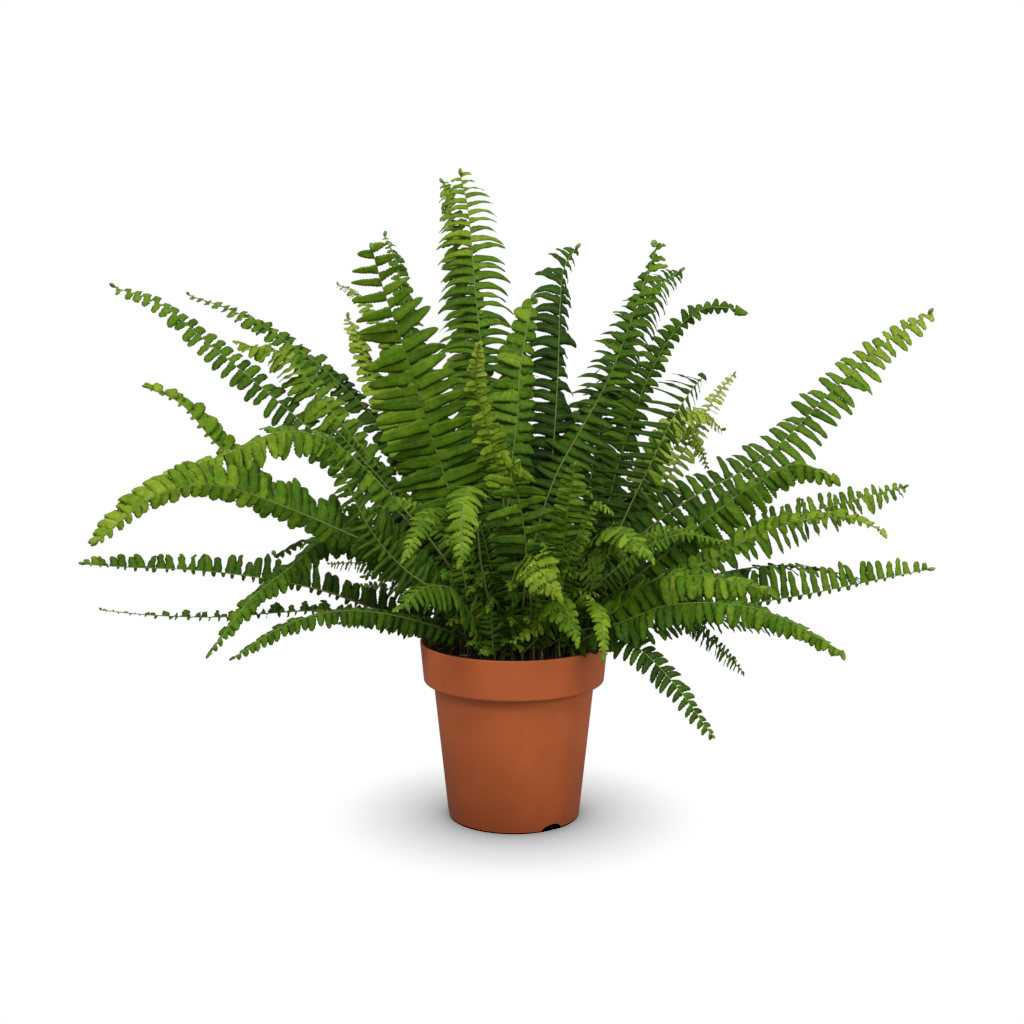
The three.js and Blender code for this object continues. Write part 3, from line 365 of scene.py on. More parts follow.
def back_frond(i, draws):
    def draw(low, high):
        return low + (high - low) * next(draws)

    first, last = BACK.angles
    angle = math.radians(first + (last - first) * ((i + 0.5) / BACK.count) + draw(*BACK.stray))
    out = np.array([math.cos(angle), math.sin(angle), 0])
    steep = i % 3  # 0 lies low, 2 stands up
    reach = draw(*BACK.reach) * (1 - STEEP.reach * steep)
    rise = draw(*BACK.rise) * (STEEP.low + STEEP.rise * steep) * (1 - STEEP.side * abs(out[0]))
    way = [out * far * reach + [0, 0, SOIL_RIM_Z + high * rise] for far, high in BACK.route]
    face = [-BACK.lean * out[0], -BACK.lean * out[1], 1]
    half = draw(*BACK.half)
    FRONDS.append(made(f"back_{i + 1:02d}", half, face, way, face_tip=[0, 0, 1], tone=BACK.tones[steep]))


def soil_top(x, y):
    return SOIL_RIM_Z + SOIL_MOUND * (1 - (x * x + y * y) / NECK_RADIUS**2)


def take_seats():
    """Stems stand in a sunflower spiral, and trade seats until no trade brings two of them nearer."""
    count = len(FRONDS)
    seats = []
    for i in range(count):
        r = SEAT_RADIUS * math.sqrt((i + 0.5) / count)
        seats.append((r * math.cos(i * GOLDEN_ANGLE), r * math.sin(i * GOLDEN_ANGLE)))
    wanted = [f.way[0][:2] * SEAT_PULL for f in FRONDS]

    def off(i, seat):
        return (wanted[i][0] - seat[0]) ** 2 + (wanted[i][1] - seat[1]) ** 2

    for _ in range(SEAT_ROUNDS):
        for a in range(count):
            for b in range(count):
                kept = off(a, seats[a]) + off(b, seats[b])
                traded = off(a, seats[b]) + off(b, seats[a])
                if traded < kept - TINY:
                    seats[a], seats[b] = seats[b], seats[a]
    for f, seat in zip(FRONDS, seats):
        f.seat = np.array(seat)


class Route:
    """A centripetal Catmull-Rom curve through points, read by the share of its length."""

    SPAN_STEPS = 24
    LEAST_GAP = 1e-4

    def __init__(self, points):
        p = np.asarray(points, float)
        p = np.vstack([2 * p[0] - p[1], p, 2 * p[-1] - p[-2]])
        gaps = np.maximum(np.sum(np.diff(p, axis=0) ** 2, axis=1) ** 0.25, self.LEAST_GAP)[:, None]
        before, here, after = gaps[:-2], gaps[1:-1], gaps[2:]
        p0, p1, p2, p3 = p[:-3], p[1:-2], p[2:-1], p[3:]
        m1 = here * ((p1 - p0) / before - (p2 - p0) / (before + here) + (p2 - p1) / here)
        m2 = here * ((p2 - p1) / here - (p3 - p1) / (here + after) + (p3 - p2) / after)
        t = (np.arange(self.SPAN_STEPS) / self.SPAN_STEPS)[None, :, None]
        p1, p2, m1, m2 = (q[:, None, :] for q in (p1, p2, m1, m2))
        spans = p1 + m1 * t + (3 * (p2 - p1) - 2 * m1 - m2) * t**2 + (2 * (p1 - p2) + m1 + m2) * t**3
        self.points = np.vstack([spans.reshape(-1, 3), p[-2]])
        steps = np.linalg.norm(np.diff(self.points, axis=0), axis=1)
        self.far = np.concatenate([[0], np.cumsum(steps)])
        self.length = self.far[-1]
        self.directions = unit(np.gradient(self.points, self.far, axis=0))

    def read(self, values, share):
        return np.stack([np.interp(np.asarray(share) * self.length, self.far, v) for v in values.T], axis=-1)

    def at(self, share):
        return self.read(self.points, share)

    def along(self, share):
        return unit(self.read(self.directions, share))


def centre_line(f):
    """Straight up out of the soil, then along the frond's route."""
    surface = soil_top(*f.seat)
    foot, out, rise = (np.array([*f.seat, surface + up]) for up in (-STEM_DEPTH, 1, STEM_RISE))
    return np.vstack([foot, out, Route(np.vstack([rise, f.way])).at(np.linspace(0, 1, LINE_STEPS + 1))])


def lift_over_rim(lines):
    """A stem that leaves the pot passes over its rim."""
    r = np.hypot(lines[..., 0], lines[..., 1])
    rising = smoothstep(r, SEAT_RADIUS, RIM_RADIUS - OVER_RIM["risen"])
    falling = smoothstep(r, RIM_RADIUS + OVER_RIM["falls"], RIM_RADIUS + OVER_RIM["fallen"])
    z = lines[..., 2]
    lines[..., 2] = np.maximum(z, z + (POT_HEIGHT + RIM_CLEARANCE - z) * (rising * (1 - falling)))


def closest_shares(p, q, r, s):
    """The shares along segments pq and rs at which the two come closest, for arrays of segments."""
    d1, d2, w = q - p, s - r, p - r
    a, b, c = (d1 * d1).sum(1), (d1 * d2).sum(1), (d1 * w).sum(1)
    e, f = (d2 * d2).sum(1), (d2 * w).sum(1)
    spread = a * e - b * b
    safe = np.where(spread > PARALLEL, spread, 1)
    t = np.where(spread > PARALLEL, np.clip((b * f - c * e) / safe, 0, 1), 0)
    u = np.clip((b * t + f) / e, 0, 1)
    return np.clip((b * u - c) / a, 0, 1), u


def settle():
    """Stems that would meet give way to each other, a little in each round. Their feet stay in place."""
    lines = np.array([f.line for f in FRONDS])
    count, size = lines.shape[:2]
    owner = np.repeat(np.arange(count), size - 1)
    first = (np.arange(count)[:, None] * size + np.arange(size - 1)[None, :]).ravel()
    freedom = smoothstep(np.arange(size), *FIRM_STEPS)[None, :, None]
    for _ in range(SETTLE_ROUNDS):
        flat = lines.reshape(-1, 3)
        p, q = flat[first], flat[first + 1]
        middle, reach = (p + q) / 2, np.linalg.norm(q - p, axis=1) / 2
        square = (middle**2).sum(1)
        apart = square[:, None] + square[None, :] - 2 * middle @ middle.T
        near = apart < (reach[:, None] + reach[None, :] + STEM_CLEARANCE) ** 2
        i, j = np.nonzero(near & (owner[:, None] < owner[None, :]))
        t, u = closest_shares(p[i], q[i], p[j], q[j])
        between = (p[i] + (q[i] - p[i]) * t[:, None]) - (p[j] + (q[j] - p[j]) * u[:, None])
        gap = np.linalg.norm(between, axis=1)
        short = np.maximum(STEM_CLEARANCE - gap, 0)
        push = between / np.maximum(gap, TOUCHING)[:, None] * (short / 2)[:, None]
        pushes = np.zeros_like(flat)
        for points, shares in ((first[i], 1 - t), (first[i] + 1, t), (first[j], u - 1), (first[j] + 1, -u)):
            np.add.at(pushes, points, push * shares[:, None])
        pushes = pushes.reshape(lines.shape)
        before = np.concatenate([pushes[:, :1], pushes[:, :-1]], axis=1)
        after = np.concatenate([pushes[:, 1:], pushes[:, -1:]], axis=1)
        lines += (2 * pushes + before + after) / 4 * freedom
        lift_over_rim(lines)
    for f, line in zip(FRONDS, lines):
        f.line = line


def upper_sides(f):
    """The upper side's direction along a frond, from the tip down, as in the solids."""
    ups = np.zeros((FRAMES + 1, 3))
    for k in range(FRAMES, -1, -1):
        s = k / FRAMES
        along = f.route.along(s)
        face = np.array(f.face) * (1 - s) + np.array(f.face_tip) * s
        face = face - along * face.dot(along)
        turn = smoothstep(np.linalg.norm(face), *SQUARE) * smoothstep(s, f.bare, 2 * f.bare)
        face = unit(face)
        up = face if k == FRAMES else ups[k + 1] + (face - ups[k + 1]) * TURN_PER_FRAME * turn
        ups[k] = unit(up - along * up.dot(along))
    return ups


def lay_route(f, line):
    f.route = Route(line)
    f.ups = upper_sides(f)


def station(f, s):
    """Place, direction, upper side and sideways direction at shares s of the frond's length."""
    s = np.asarray(s, float)
    along = f.route.along(s)
    ups = np.stack([np.interp(s * FRAMES, np.arange(FRAMES + 1), axis) for axis in f.ups.T], axis=-1)
    ups = unit(ups - along * np.sum(ups * along, axis=-1, keepdims=True))
    return f.route.at(s), along, ups, np.cross(along, ups)


def blade_shape(f, u):
    """Width of the blade as a share of its widest, from the lowest leaflet to the tip."""
    if f.deltoid:
        return (1 - u) ** DELTOID_ROUNDING + BLADE_LEAST
    swell = BLADE_FOOT + (1 - BLADE_FOOT) * float(smoothstep(u, 0, BLADE_SWELL))
    return swell * (1 - u**f.full) ** BLADE_ROUNDING + BLADE_LEAST


# ---- Meshes ----
class Parts:
    """Gathers vertices, faces and named values at the vertices, then makes one mesh of them."""

    def __init__(self, *values):
        self.points, self.faces, self.materials = [], [], []
        self.values = {name: [] for name in values}
        self.count = 0

    def add(self, points, faces, material=0, **values):
        points = np.asarray(points, float).reshape(-1, 3)
        self.points.append(points)
        self.faces.extend((np.asarray(face) + self.count).tolist() for face in faces)
        self.materials.extend([material] * len(faces))
        for name, kept in self.values.items():
            kept.append(np.broadcast_to(np.asarray(values.get(name, 0), float), len(points)))
        self.count += len(points)

    def piece(self, name, *materials):
        mesh = bpy.data.meshes.new(name)
        mesh.from_pydata((np.vstack(self.points) * MM).tolist(), [], self.faces)
        thing = placed(name, mesh, *materials)
        mesh.polygons.foreach_set("material_index", self.materials)
        mesh.shade_smooth()
        for value, kept in self.values.items():
            mesh.attributes.new(value, "FLOAT", "POINT").data.foreach_set("value", np.concatenate(kept))
        mesh.update()
        return thing


def placed(name, mesh, *materials):
    """The object of a mesh, camera or light in the scene, with its materials."""
    for material in materials:
        mesh.materials.append(material)
    thing = bpy.data.objects.new(name, mesh)
    bpy.context.scene.collection.objects.link(thing)
    return thing


ROUGHLY_UP = np.array([0.31, 0.17, 0.93])  # along no strand of the litter


def tube(line, radii, sides, ups=None):
    """A closed tube along a line. Returns its points and faces."""
    line = np.asarray(line, float)
    along = unit(np.gradient(line, axis=0))
    if ups is None:
        ups = unit(ROUGHLY_UP - along * (along @ ROUGHLY_UP)[:, None])
    side = np.cross(along, ups)
    angles = np.arange(sides) * math.tau / sides
    ring = np.cos(angles)[None, :, None] * side[:, None] + np.sin(angles)[None, :, None] * ups[:, None]
    points = line[:, None] + ring * np.asarray(radii, float)[:, None, None]
    here = np.arange(len(line) - 1)[:, None] * sides
    k = np.arange(sides)[None, :]
    after = (k + 1) % sides
    quads = np.stack([here + k, here + sides + k, here + sides + after, here + after], axis=-1).reshape(-1, 4)
    last = (len(line) - 1) * sides
    return points.reshape(-1, 3), [*quads, np.arange(sides), last + np.arange(sides)[::-1]]


# ---- Leaflets ----
UP = np.array([0.0, 0.0, 1.0])
ACROSS = np.array([-1.0, -0.5, 0.0, 0.5, 1.0])  # places across a leaflet, from edge to edge
UNDER = ACROSS[1:4]
PINNA_PITCH = [(9, 5.2), (31, 9.0)]  # half the frond's width, and how far apart its leaflets stand
PINNA = SimpleNamespace(
    tooth=2.1,  # the length of one tooth of its edge
    rows_crowd=0.94,  # below 1, its rows of points stand closer at its tip
    foot=(0.85, 0.15, 0.12),  # its width at the foot, how much it widens, and by which share of its length
    tip_rounding=0.52,
    least=0.03,  # its width at the very tip
    ear=(0.22, 0.08),  # how far it stands out, and its place and spread along the leaflet
    toothed=(0.04, 0.2),  # where its teeth begin
    dished=(0.16, 1.25),  # how high its halves arch, and how much its edges fall
    ripples=2.2,  # waves of its edge along its length
    turned=0.25,  # by this share of its length it has turned its upper side
    bowed=0.08,  # how much its bend shortens it
    droops=(2.6, 2.2),  # how late it drops and hangs
    edge=0.2,  # its thickness there
    vein=0.34,  # its thickness at the mid vein
    full_size=8,  # a shorter one is thinner
)
# How much leaflets differ. Each is a spread round the frond's own look, or a range of it.
STRAY = SimpleNamespace(
    tone=0.05, point=(0.8, 1.2), teeth=(0.6, 1.4), ripple=(0.02, 0.06), turn=7, curl=10, lean=0.05,
    arch=(0.75, 1.25), unbent=(-0.06, 0.03), drop=(0.03, 0.15), weight=(0.6, 1.4), shift=(-0.1, 0.1),
    fold=6, shorter=(-0.07, 0.12), width=(0.92, 1.12))
TONE_RISE = 1.6  # leaves turn pale late along a frond
TIP_LEAN = 0.16  # how much more the last leaflets lean
LEAFLET_DROOP = 5  # degrees by which they all hang
FOLD_WAVE = (7, 9)  # degrees by which leaflets rise and fall in turn along a frond, and how fast
OPPOSITE_SHIFT = 0.2  # leaflets aren't quite opposite: by this share of their pitch
WIDEST = (0.8, 0.5)  # a leaflet's width is at most this share of its length, and this much more at the tip
TIP_SHARE = (0.68, 0.9)  # the part of the blade along which an open tip's leaflets grow narrower
END_LEAFLET = (0.4, 3.5, 0.7)  # the last one's share of the half width, its least length and its width
CROWN_HEART = np.array([0, 0, 130])  # around here, leaflets are painted darker, as painted shade in the heart of the crown
CROWN_REACH = (45, 170)
# how much darker the painted shade makes leaflets at the heart of the crown
CROWN_PAINTED_SHADE = 0.05


@cache
def leaflet_faces(rows, mirrored):
    """Faces of one closed leaflet: an upper sheet and an under sheet that share their edges."""
    wide, thin = len(ACROSS), len(UNDER)

    def upper(j, c):
        return j * wide + c

    def under(j, c):
        return upper(j, c) if c in (0, wide - 1) else rows * wide + j * thin + c - 1

    faces = []
    for j in range(rows - 1):
        for c in range(wide - 1):
            faces.append((upper(j, c), upper(j, c + 1), upper(j + 1, c + 1), upper(j + 1, c)))
            faces.append((under(j, c), under(j + 1, c), under(j + 1, c + 1), under(j, c + 1)))
    for j, turn in ((0, 1), (rows - 1, -1)):
        rim = [under(j, c) for c in range(wide)] + [upper(j, c) for c in range(wide - 2, 0, -1)]
        faces.append(tuple(rim[::turn]))
    return [face[::-1] for face in faces] if mirrored else faces


def leaflet_halves(v, width, look):
    """How far a leaflet's rows reach to each of the places across it, and how high they arch there."""
    foot, wider, widened = PINNA.foot
    body = (foot + wider * smoothstep(v, 0, widened)) * (1 - v**look.point) ** PINNA.tip_rounding
    body = body * (1 - look.taper * v) + PINNA.least
    ear, ear_at = PINNA.ear
    ear = ear * np.exp(-(((v - ear_at) / ear_at) ** 2))
    bite = np.where(np.arange(len(v)) % 2 == 1, look.teeth, -look.teeth) * smoothstep(v, *PINNA.toothed)
    tip_side = width / 2 * (body + ear) * (1 + bite)
    foot_side = width / 2 * body * (1 + bite)
    half = np.where(ACROSS[None, :] > 0, tip_side[:, None], foot_side[:, None]) * ACROSS[None, :]
    arched, fallen = PINNA.dished
    crown = arched * width * (np.abs(ACROSS) - fallen * ACROSS**2)[None, :] * body[:, None]
    waves = np.sin(math.tau * (PINNA.ripples * v[:, None] + look.phase))
    ripple = look.ripple * width * (ACROSS**2 * np.sign(ACROSS))[None, :] * waves
    return half[..., None], (crown + ripple)[..., None]


def leaflet(parts, root, out, over, along, length, width, look):
    """One leaflet: oblong, with an ear at its foot on the tip side, toothed edges and a rounded-acute tip.
    out, over and along are its directions: away from the rib, its upper side, and towards the frond's tip."""
    rows = 2 * max(2, round(length / PINNA.tooth)) + 1
    v = np.linspace(0, 1, rows) ** PINNA.rows_crowd
    half, height = leaflet_halves(v, width, look)
    turn = look.turn * smoothstep(v, 0, PINNA.turned) + look.curl * v**2
    across = along[None] * np.cos(turn)[:, None] - over[None] * np.sin(turn)[:, None]
    lift = over[None] * np.cos(turn)[:, None] + along[None] * np.sin(turn)[:, None]
    drop, hang = PINNA.droops
    line = (root + out[None] * (length * (v - PINNA.bowed * v**3))[:, None]
            + along[None] * (length * (look.lean * v - look.arch * v**2))[:, None]
            - over[None] * (length * look.drop * v**drop)[:, None]
            - UP[None] * (length * look.weight * v**hang)[:, None])
    upper = line[:, None] + across[:, None] * half + lift[:, None] * height
    thick = np.array([PINNA.edge, PINNA.vein, PINNA.edge]) * min(1, length / PINNA.full_size)
    under = upper[:, 1:4] - lift[:, None] * thick[None, :, None]
    far = np.concatenate([np.repeat(v, len(ACROSS)), np.repeat(v, len(UNDER))])
    off = np.concatenate([np.tile(ACROSS, rows), np.tile(UNDER, rows)])
    below = np.repeat([0.0, 1.0], [rows * len(ACROSS), rows * len(UNDER)])
    mirrored = np.cross(out, along).dot(over) < 0
    parts.add(np.vstack([upper.reshape(-1, 3), under.reshape(-1, 3)]), leaflet_faces(rows, mirrored),
              tone=look.tone, shade=look.shade, far=far * length, off=off, below=below)


def leaflet_look(f, u, rng, at):
    """What one leaflet of a frond looks like, a little different from the last."""
    # painted shade: leaflets nearer the heart of the crown are darker
    painted_crown_shade = CROWN_PAINTED_SHADE * (1 - float(smoothstep(np.linalg.norm(at - CROWN_HEART), *CROWN_REACH)))
    pale = f.tone[0] + (f.tone[1] - f.tone[0]) * u**TONE_RISE
    return SimpleNamespace(
        tone=pale + rng.gauss(0, STRAY.tone) - painted_crown_shade,
        shade=rng.random(),
        point=f.point * rng.uniform(*STRAY.point),
        taper=f.taper,
        teeth=f.teeth * rng.uniform(*STRAY.teeth),
        ripple=rng.uniform(*STRAY.ripple) * f.unruly,
        phase=rng.random(),
        turn=math.radians(f.twist + rng.gauss(0, STRAY.turn) * f.unruly),
        curl=math.radians(rng.gauss(0, STRAY.curl) * f.unruly),
        lean=f.lean + rng.gauss(0, STRAY.lean) * f.unruly + TIP_LEAN * u**3,
        arch=f.arch * rng.uniform(*STRAY.arch) + rng.uniform(*STRAY.unbent),
        drop=rng.uniform(*STRAY.drop),
        weight=f.weight * rng.uniform(*STRAY.weight),
    )


def grow_leaflets(parts, f, rng):
    """Pairs of leaflets from the lowest to the tip, where they stand closer."""
    blade = f.route.length * (1 - f.bare)
    pairs = round(blade / (f.pitch or np.interp(f.half, *zip(*PINNA_PITCH))))
    wave_height, wave_pace = FOLD_WAVE
    wave = rng.uniform(0, math.tau)
    broad, broader = WIDEST
    for i in range(pairs):
        t = (i + 0.5) / pairs
        u = t * (1 + f.crowd) - f.crowd * t * t
        room = blade / pairs * (1 + f.crowd - 2 * f.crowd * t)
        slim = (1 - f.gap) * (1 - f.open_tip * float(smoothstep(u, *TIP_SHARE)))
        for which, sign in ((1, 1), (0, -1)):
            shift = room * (rng.uniform(*STRAY.shift) * f.unruly + sign * OPPOSITE_SHIFT)
            s = f.bare + (1 - f.bare) * u + shift / f.route.length
            at, along, up, side = station(f, min(1, s))
            hang = f.fold[which] - LEAFLET_DROOP + rng.gauss(0, STRAY.fold) * f.unruly
            fold = math.radians(hang + wave_height * math.sin(wave + u * wave_pace + sign))
            out = side * sign * math.cos(fold) + up * math.sin(fold)
            over = up * math.cos(fold) - side * sign * math.sin(fold)
            shorter = rng.uniform(*STRAY.shorter) * f.unruly
            length = f.half * f.sides[which] * blade_shape(f, u) * (1 - shorter)
            width = min(room * slim * rng.uniform(*STRAY.width), (broad + broader * u**4) * length)
            leaflet(parts, at, out, over, along, length, width, leaflet_look(f, u, rng, at))
    if not f.crozier:
        at, along, up, side = station(f, 1)
        share, least, wide = END_LEAFLET
        length = max(least, share * f.half)
        leaflet(parts, at, along, up, side, length, wide * length, leaflet_look(f, 1, rng, at))


# ---- Stems, curled tips and hairs ----
STEM_TIP_HALF = 0.34
STEM_SIDES = 6
STEM_STEPS = 64
STEM_TAPER = 0.75  # by this share of its length a stem is as thin as its tip
CROZIER = SimpleNamespace(
    turns=1.6,
    radius=2.3,
    of_blade=22,  # from this half width on, the curl is as wide as that
    least=0.45,  # a narrow frond's curl is no smaller than this share of it
    steps=26,
    closes=0.7,  # how much nearer to its centre it ends
    thick=0.55,  # its thickness there, as a share of its radius
    thickens=0.35,
)


def curled_tip(f, line, along, ups):
    """The rib's line where it is still curled up, its upper sides and its radii."""
    full = CROZIER.radius * min(1, max(CROZIER.least, f.half / CROZIER.of_blade))
    a = np.linspace(0, 1, CROZIER.steps + 1)[1:]
    angle = a * CROZIER.turns * math.tau
    r = full * (1 - CROZIER.closes * a)
    centre = line + ups * full
    curl = centre + along * (r * np.sin(angle))[:, None] - ups * (r * np.cos(angle))[:, None]
    thicker = (CROZIER.thick * full - STEM_TIP_HALF) * smoothstep(a, 0, CROZIER.thickens)
    return curl, unit(centre - curl), STEM_TIP_HALF + thicker


def grow_stem(parts, f):
    """The stem and rib, and the curl at a tip that hasn't opened yet."""
    rise = np.linspace(0, 1, STEM_STEPS)
    line, along, ups, _ = station(f, rise)
    radii = STEM_TIP_HALF + (STEM_HALF - STEM_TIP_HALF) * (1 - smoothstep(rise, 0, STEM_TAPER))
    if f.crozier:
        curl, curl_ups, curl_radii = curled_tip(f, line[-1], along[-1], ups[-1])
        line, ups = np.vstack([line, curl]), np.vstack([ups, curl_ups])
        radii = np.concatenate([radii, curl_radii])
        rise = np.concatenate([rise, np.full(CROZIER.steps, 1.0)])
    points, faces = tube(line, radii, STEM_SIDES, ups)
    parts.add(points, faces, 1, tone=f.tone[1], far=np.repeat(rise, STEM_SIDES))


HAIRS = 110
HAIR_HALF = 0.07
HAIR_LENGTH = (0.9, 2.0)
HAIR_LEAN = (-0.2, 0.9)
HAIRS_LOW = 1.9  # how much more of them stand low
HAIRY = (0.85, 0.03)  # the length of hairy stem, and its start, as shares of the frond's length
HAIR_SHORTENS = (1.3, 0.7)  # a hair's length at the stem's foot, and how much of it is lost at its tip


def grow_hairs(parts, f, rng, count=HAIRS):
    """Fine brown hairs, thickest at the foot of the stem."""
    for _ in range(count):
        s = rng.random() ** HAIRS_LOW * HAIRY[0] + HAIRY[1]
        at, along, up, side = station(f, s)
        angle = rng.uniform(0, math.tau)
        out = side * math.cos(angle) + up * math.sin(angle)
        wide = np.cross(out, along) * HAIR_HALF
        lean = unit(out + along * rng.uniform(*HAIR_LEAN))
        length = rng.uniform(*HAIR_LENGTH) * (HAIR_SHORTENS[0] - HAIR_SHORTENS[1] * s)
        root = at + out * 0.5 * STEM_HALF
        points = [root - wide, root + wide, root + along * HAIR_HALF, root + lean * length]
        parts.add(points, [(0, 1, 2), (0, 3, 1), (1, 3, 2), (2, 3, 0)], 2, far=s)


def grow(parts, f, rng, hairs=HAIRS):
    grow_stem(parts, f)
    grow_leaflets(parts, f, rng)
    grow_hairs(parts, f, rng, hairs)


def frond_parts():
    return Parts("tone", "shade", "far", "off", "below")


def frond_piece(f, index, materials):
    parts = frond_parts()
    grow(parts, f, random.Random(1000 + index))
    piece = parts.piece(f"fern_{f.name}", *materials)
    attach(piece, "root")
    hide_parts(f"frond_{f.name}")


# ---- Young and small fronds that fill the crown, beyond those of the solids ----
SPRIG_APART = 3.5  # the least distance between two feet
SPRIG_MOST_OUT = 53
SPRIG_SEATS_TRIED = 400
SPRIGS_A_PIECE = 10
SPRIG_ROUTE = [(0.12, 0.3), (0.4, 0.72), (0.75, 1), (1, 0.96)]  # shares of its reach and of its rise
SPRIG_FOOT = (4, 46)
SPRIG_LOOKS = dict(bare=0.25, gap=0.1, unruly=1.8, pitch=3.9, crozier=False)
SPRIG_FACE = SimpleNamespace(x=(-0.4, 0.4), y=-0.7, z=(0.3, 0.9))  # where its upper side looks
SPRIG_PALER = 0.25  # how much paler its tip is than its foot
FRONT_LOWER = 0.45  # how much lower a sprig right at the front stays
SPRIGS = [
    dict(count=24, angles=(0, 360), reach=(14, 48), rise=(40, 105), half=(7, 10.5), tone=(0.2, 0.5)),
    dict(count=24, angles=(195, 345), reach=(25, 74), rise=(22, 95), half=(5, 9), tone=(0.32, 0.62)),
    dict(count=22, angles=(190, 350), reach=(16, 66), rise=(60, 150), half=(7, 11), tone=(0.22, 0.52)),
    dict(count=12, angles=(140, 200), reach=(70, 140), rise=(30, 130), half=(6.5, 9.5), tone=(0.2, 0.5)),
    dict(count=12, angles=(-20, 40), reach=(70, 150), rise=(30, 110), half=(6.5, 9.5), tone=(0.2, 0.5)),
]


def shown_sprig(half, face, seen, **more):
    """A small frond that the photograph shows singly."""
    f = made("", half, face, [seen_at(*spot) for spot in seen], **more)
    f.foot = f.way[0][:2] * SEAT_PULL
    return f


def shown_sprigs():
    return [
        shown_sprig(9, [0, -0.8, 0.6],
                    [[612, 560, 30], [640, 480, 50], [666, 438, 66], [688, 431, 82], [701, 450, 96],
                     [707, 467, 104]], bare=0.6, tone=(0.7, 0.9), gap=-0.3),
        shown_sprig(8, [0, -1, 0.2], [[500, 612, -16], [494, 579, -24], [487, 551, -31], [480, 522, -38]],
                    bare=0.55, tone=(0.1, 0.2)),
        shown_sprig(7, [0, -0.8, 0.6], [[542, 622, -44], [534, 629, -50], [522, 636, -56], [511, 643, -60]],
                    bare=0.2, tone=(0.6, 0.75), gap=-0.3),
        shown_sprig(9, [0.2, -0.8, 0.5],
                    [[586, 600, -30], [588, 560, -44], [596, 540, -58], [612, 545, -72], [625, 556, -82]],
                    bare=0.4, **YOUNG, tone=(0.45, 0.6), gap=-0.3),
        shown_sprig(9, [-0.2, -0.8, 0.5],
                    [[470, 622, -40], [462, 608, -52], [448, 598, -62], [434, 602, -72]],
                    bare=0.3, tone=(0.4, 0.68), gap=-0.1),
        shown_sprig(7, [0, -0.8, 0.6], [[476, 630, -42], [470, 620, -50], [460, 617, -58], [447, 625, -64]],
                    bare=0.3, tone=(0.6, 0.8), gap=-0.1),
    ]


def seeded_sprig(rule, rng):
    """One small frond by its group's rule. Those towards the viewer stay low."""
    angle = math.radians(rng.uniform(*rule["angles"]))
    out = np.array([math.cos(angle), math.sin(angle), 0])
    low = 1 - FRONT_LOWER * max(0, -out[1])
    reach, rise = rng.uniform(*rule["reach"]) * low, rng.uniform(*rule["rise"]) * low
    foot = out * rng.uniform(*SPRIG_FOOT)
    way = [foot + out * far * reach + [0, 0, SOIL_RIM_Z + high * rise] for far, high in SPRIG_ROUTE]
    face = [rng.uniform(*SPRIG_FACE.x), SPRIG_FACE.y, rng.uniform(*SPRIG_FACE.z)]
    tone = rng.uniform(*rule["tone"])
    f = made("", rng.uniform(*rule["half"]), face, way, tone=(tone, tone + SPRIG_PALER), **SPRIG_LOOKS)
    f.foot = f.way[0][:2]
    return f


def free_seat(wanted, taken):
    """The nearest place to wanted, along a spiral, that no other foot stands in."""
    for k in range(SPRIG_SEATS_TRIED):
        r, a = SPRIG_APART / 2 * math.sqrt(k), k * GOLDEN_ANGLE
        seat = np.array([wanted[0] + r * math.cos(a), wanted[1] + r * math.sin(a)])
        nearest = np.min(np.linalg.norm(taken - seat, axis=1))
        if np.linalg.norm(seat) < SPRIG_MOST_OUT and nearest > SPRIG_APART:
            return seat
    return np.array(wanted)


def sprigs():
    rng = random.Random(505)
    grown = shown_sprigs() + [seeded_sprig(rule, rng) for rule in SPRIGS for _ in range(rule["count"])]
    taken = [f.seat for f in FRONDS]
    for f in grown:
        f.seat = free_seat(f.foot, np.array(taken))
        taken.append(f.seat)
        lay_route(f, centre_line(f))
    return grown


def sprig_pieces(materials):
    """The small fronds, several to a piece."""
    grown = sprigs()
    for first in range(0, len(grown), SPRIGS_A_PIECE):
        rng = random.Random(3000 + first)
        parts = frond_parts()
        for f in grown[first:first + SPRIGS_A_PIECE]:
            grow(parts, f, rng, HAIRS // 4)
        piece = parts.piece(f"fern_sprigs_{first // SPRIGS_A_PIECE + 1}", *materials)
        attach(piece, "root")


# ---- Pot ----
POT_SEGMENTS = 192
POT_SHARP = 35  # degrees between two faces, beyond which the edge between them shows
ROUNDING_STEPS = 5
PAD_SLOPE = 1
COLLAR_UNDERCUT = 0.2
COLLAR_BEAD = (0.05, 2.6)  # how far it stands out, and its height
NOTCH_SEGMENTS = 48
DRAIN_SEGMENTS = 32


def rounded(corners):
    """A closed profile's points, from its corners and how far each is rounded."""
    points = []
    places = [np.array(place, float) for place, _ in corners]
    for i, (here, (_, rounding)) in enumerate(zip(places, corners)):
        if rounding == 0:
            points.append(here)
            continue
        a = here + unit(places[i - 1] - here) * rounding
        b = here + unit(places[(i + 1) % len(places)] - here) * rounding
        for t in np.linspace(0, 1, ROUNDING_STEPS):
            points.append((1 - t) ** 2 * a + 2 * t * (1 - t) * here + t**2 * b)
    return points


def lathe(profile, segments):
    """A closed mesh from a profile that starts and ends on the axis."""
    mesh = bmesh.new()
    turn = [math.tau * k / segments for k in range(segments)]
    rings = []
    for r, z in profile:
        places = [(r * math.cos(a) * MM, r * math.sin(a) * MM, z * MM) for a in turn]
        rings.append([mesh.verts.new(place) for place in (places if r > TINY else [(0, 0, z * MM)])])
    for one, two in zip(rings, rings[1:]):
        for k in range(segments):
            m = (k + 1) % segments
            corners = [one[k % len(one)], one[m % len(one)], two[m % len(two)], two[k % len(two)]]
            mesh.faces.new(list(dict.fromkeys(corners)))
    bmesh.ops.recalc_face_normals(mesh, faces=mesh.faces)
    return mesh


def piece_from(mesh, name, *materials):
    data = bpy.data.meshes.new(name)
    mesh.to_mesh(data)
    mesh.free()
    return placed(name, data, *materials)


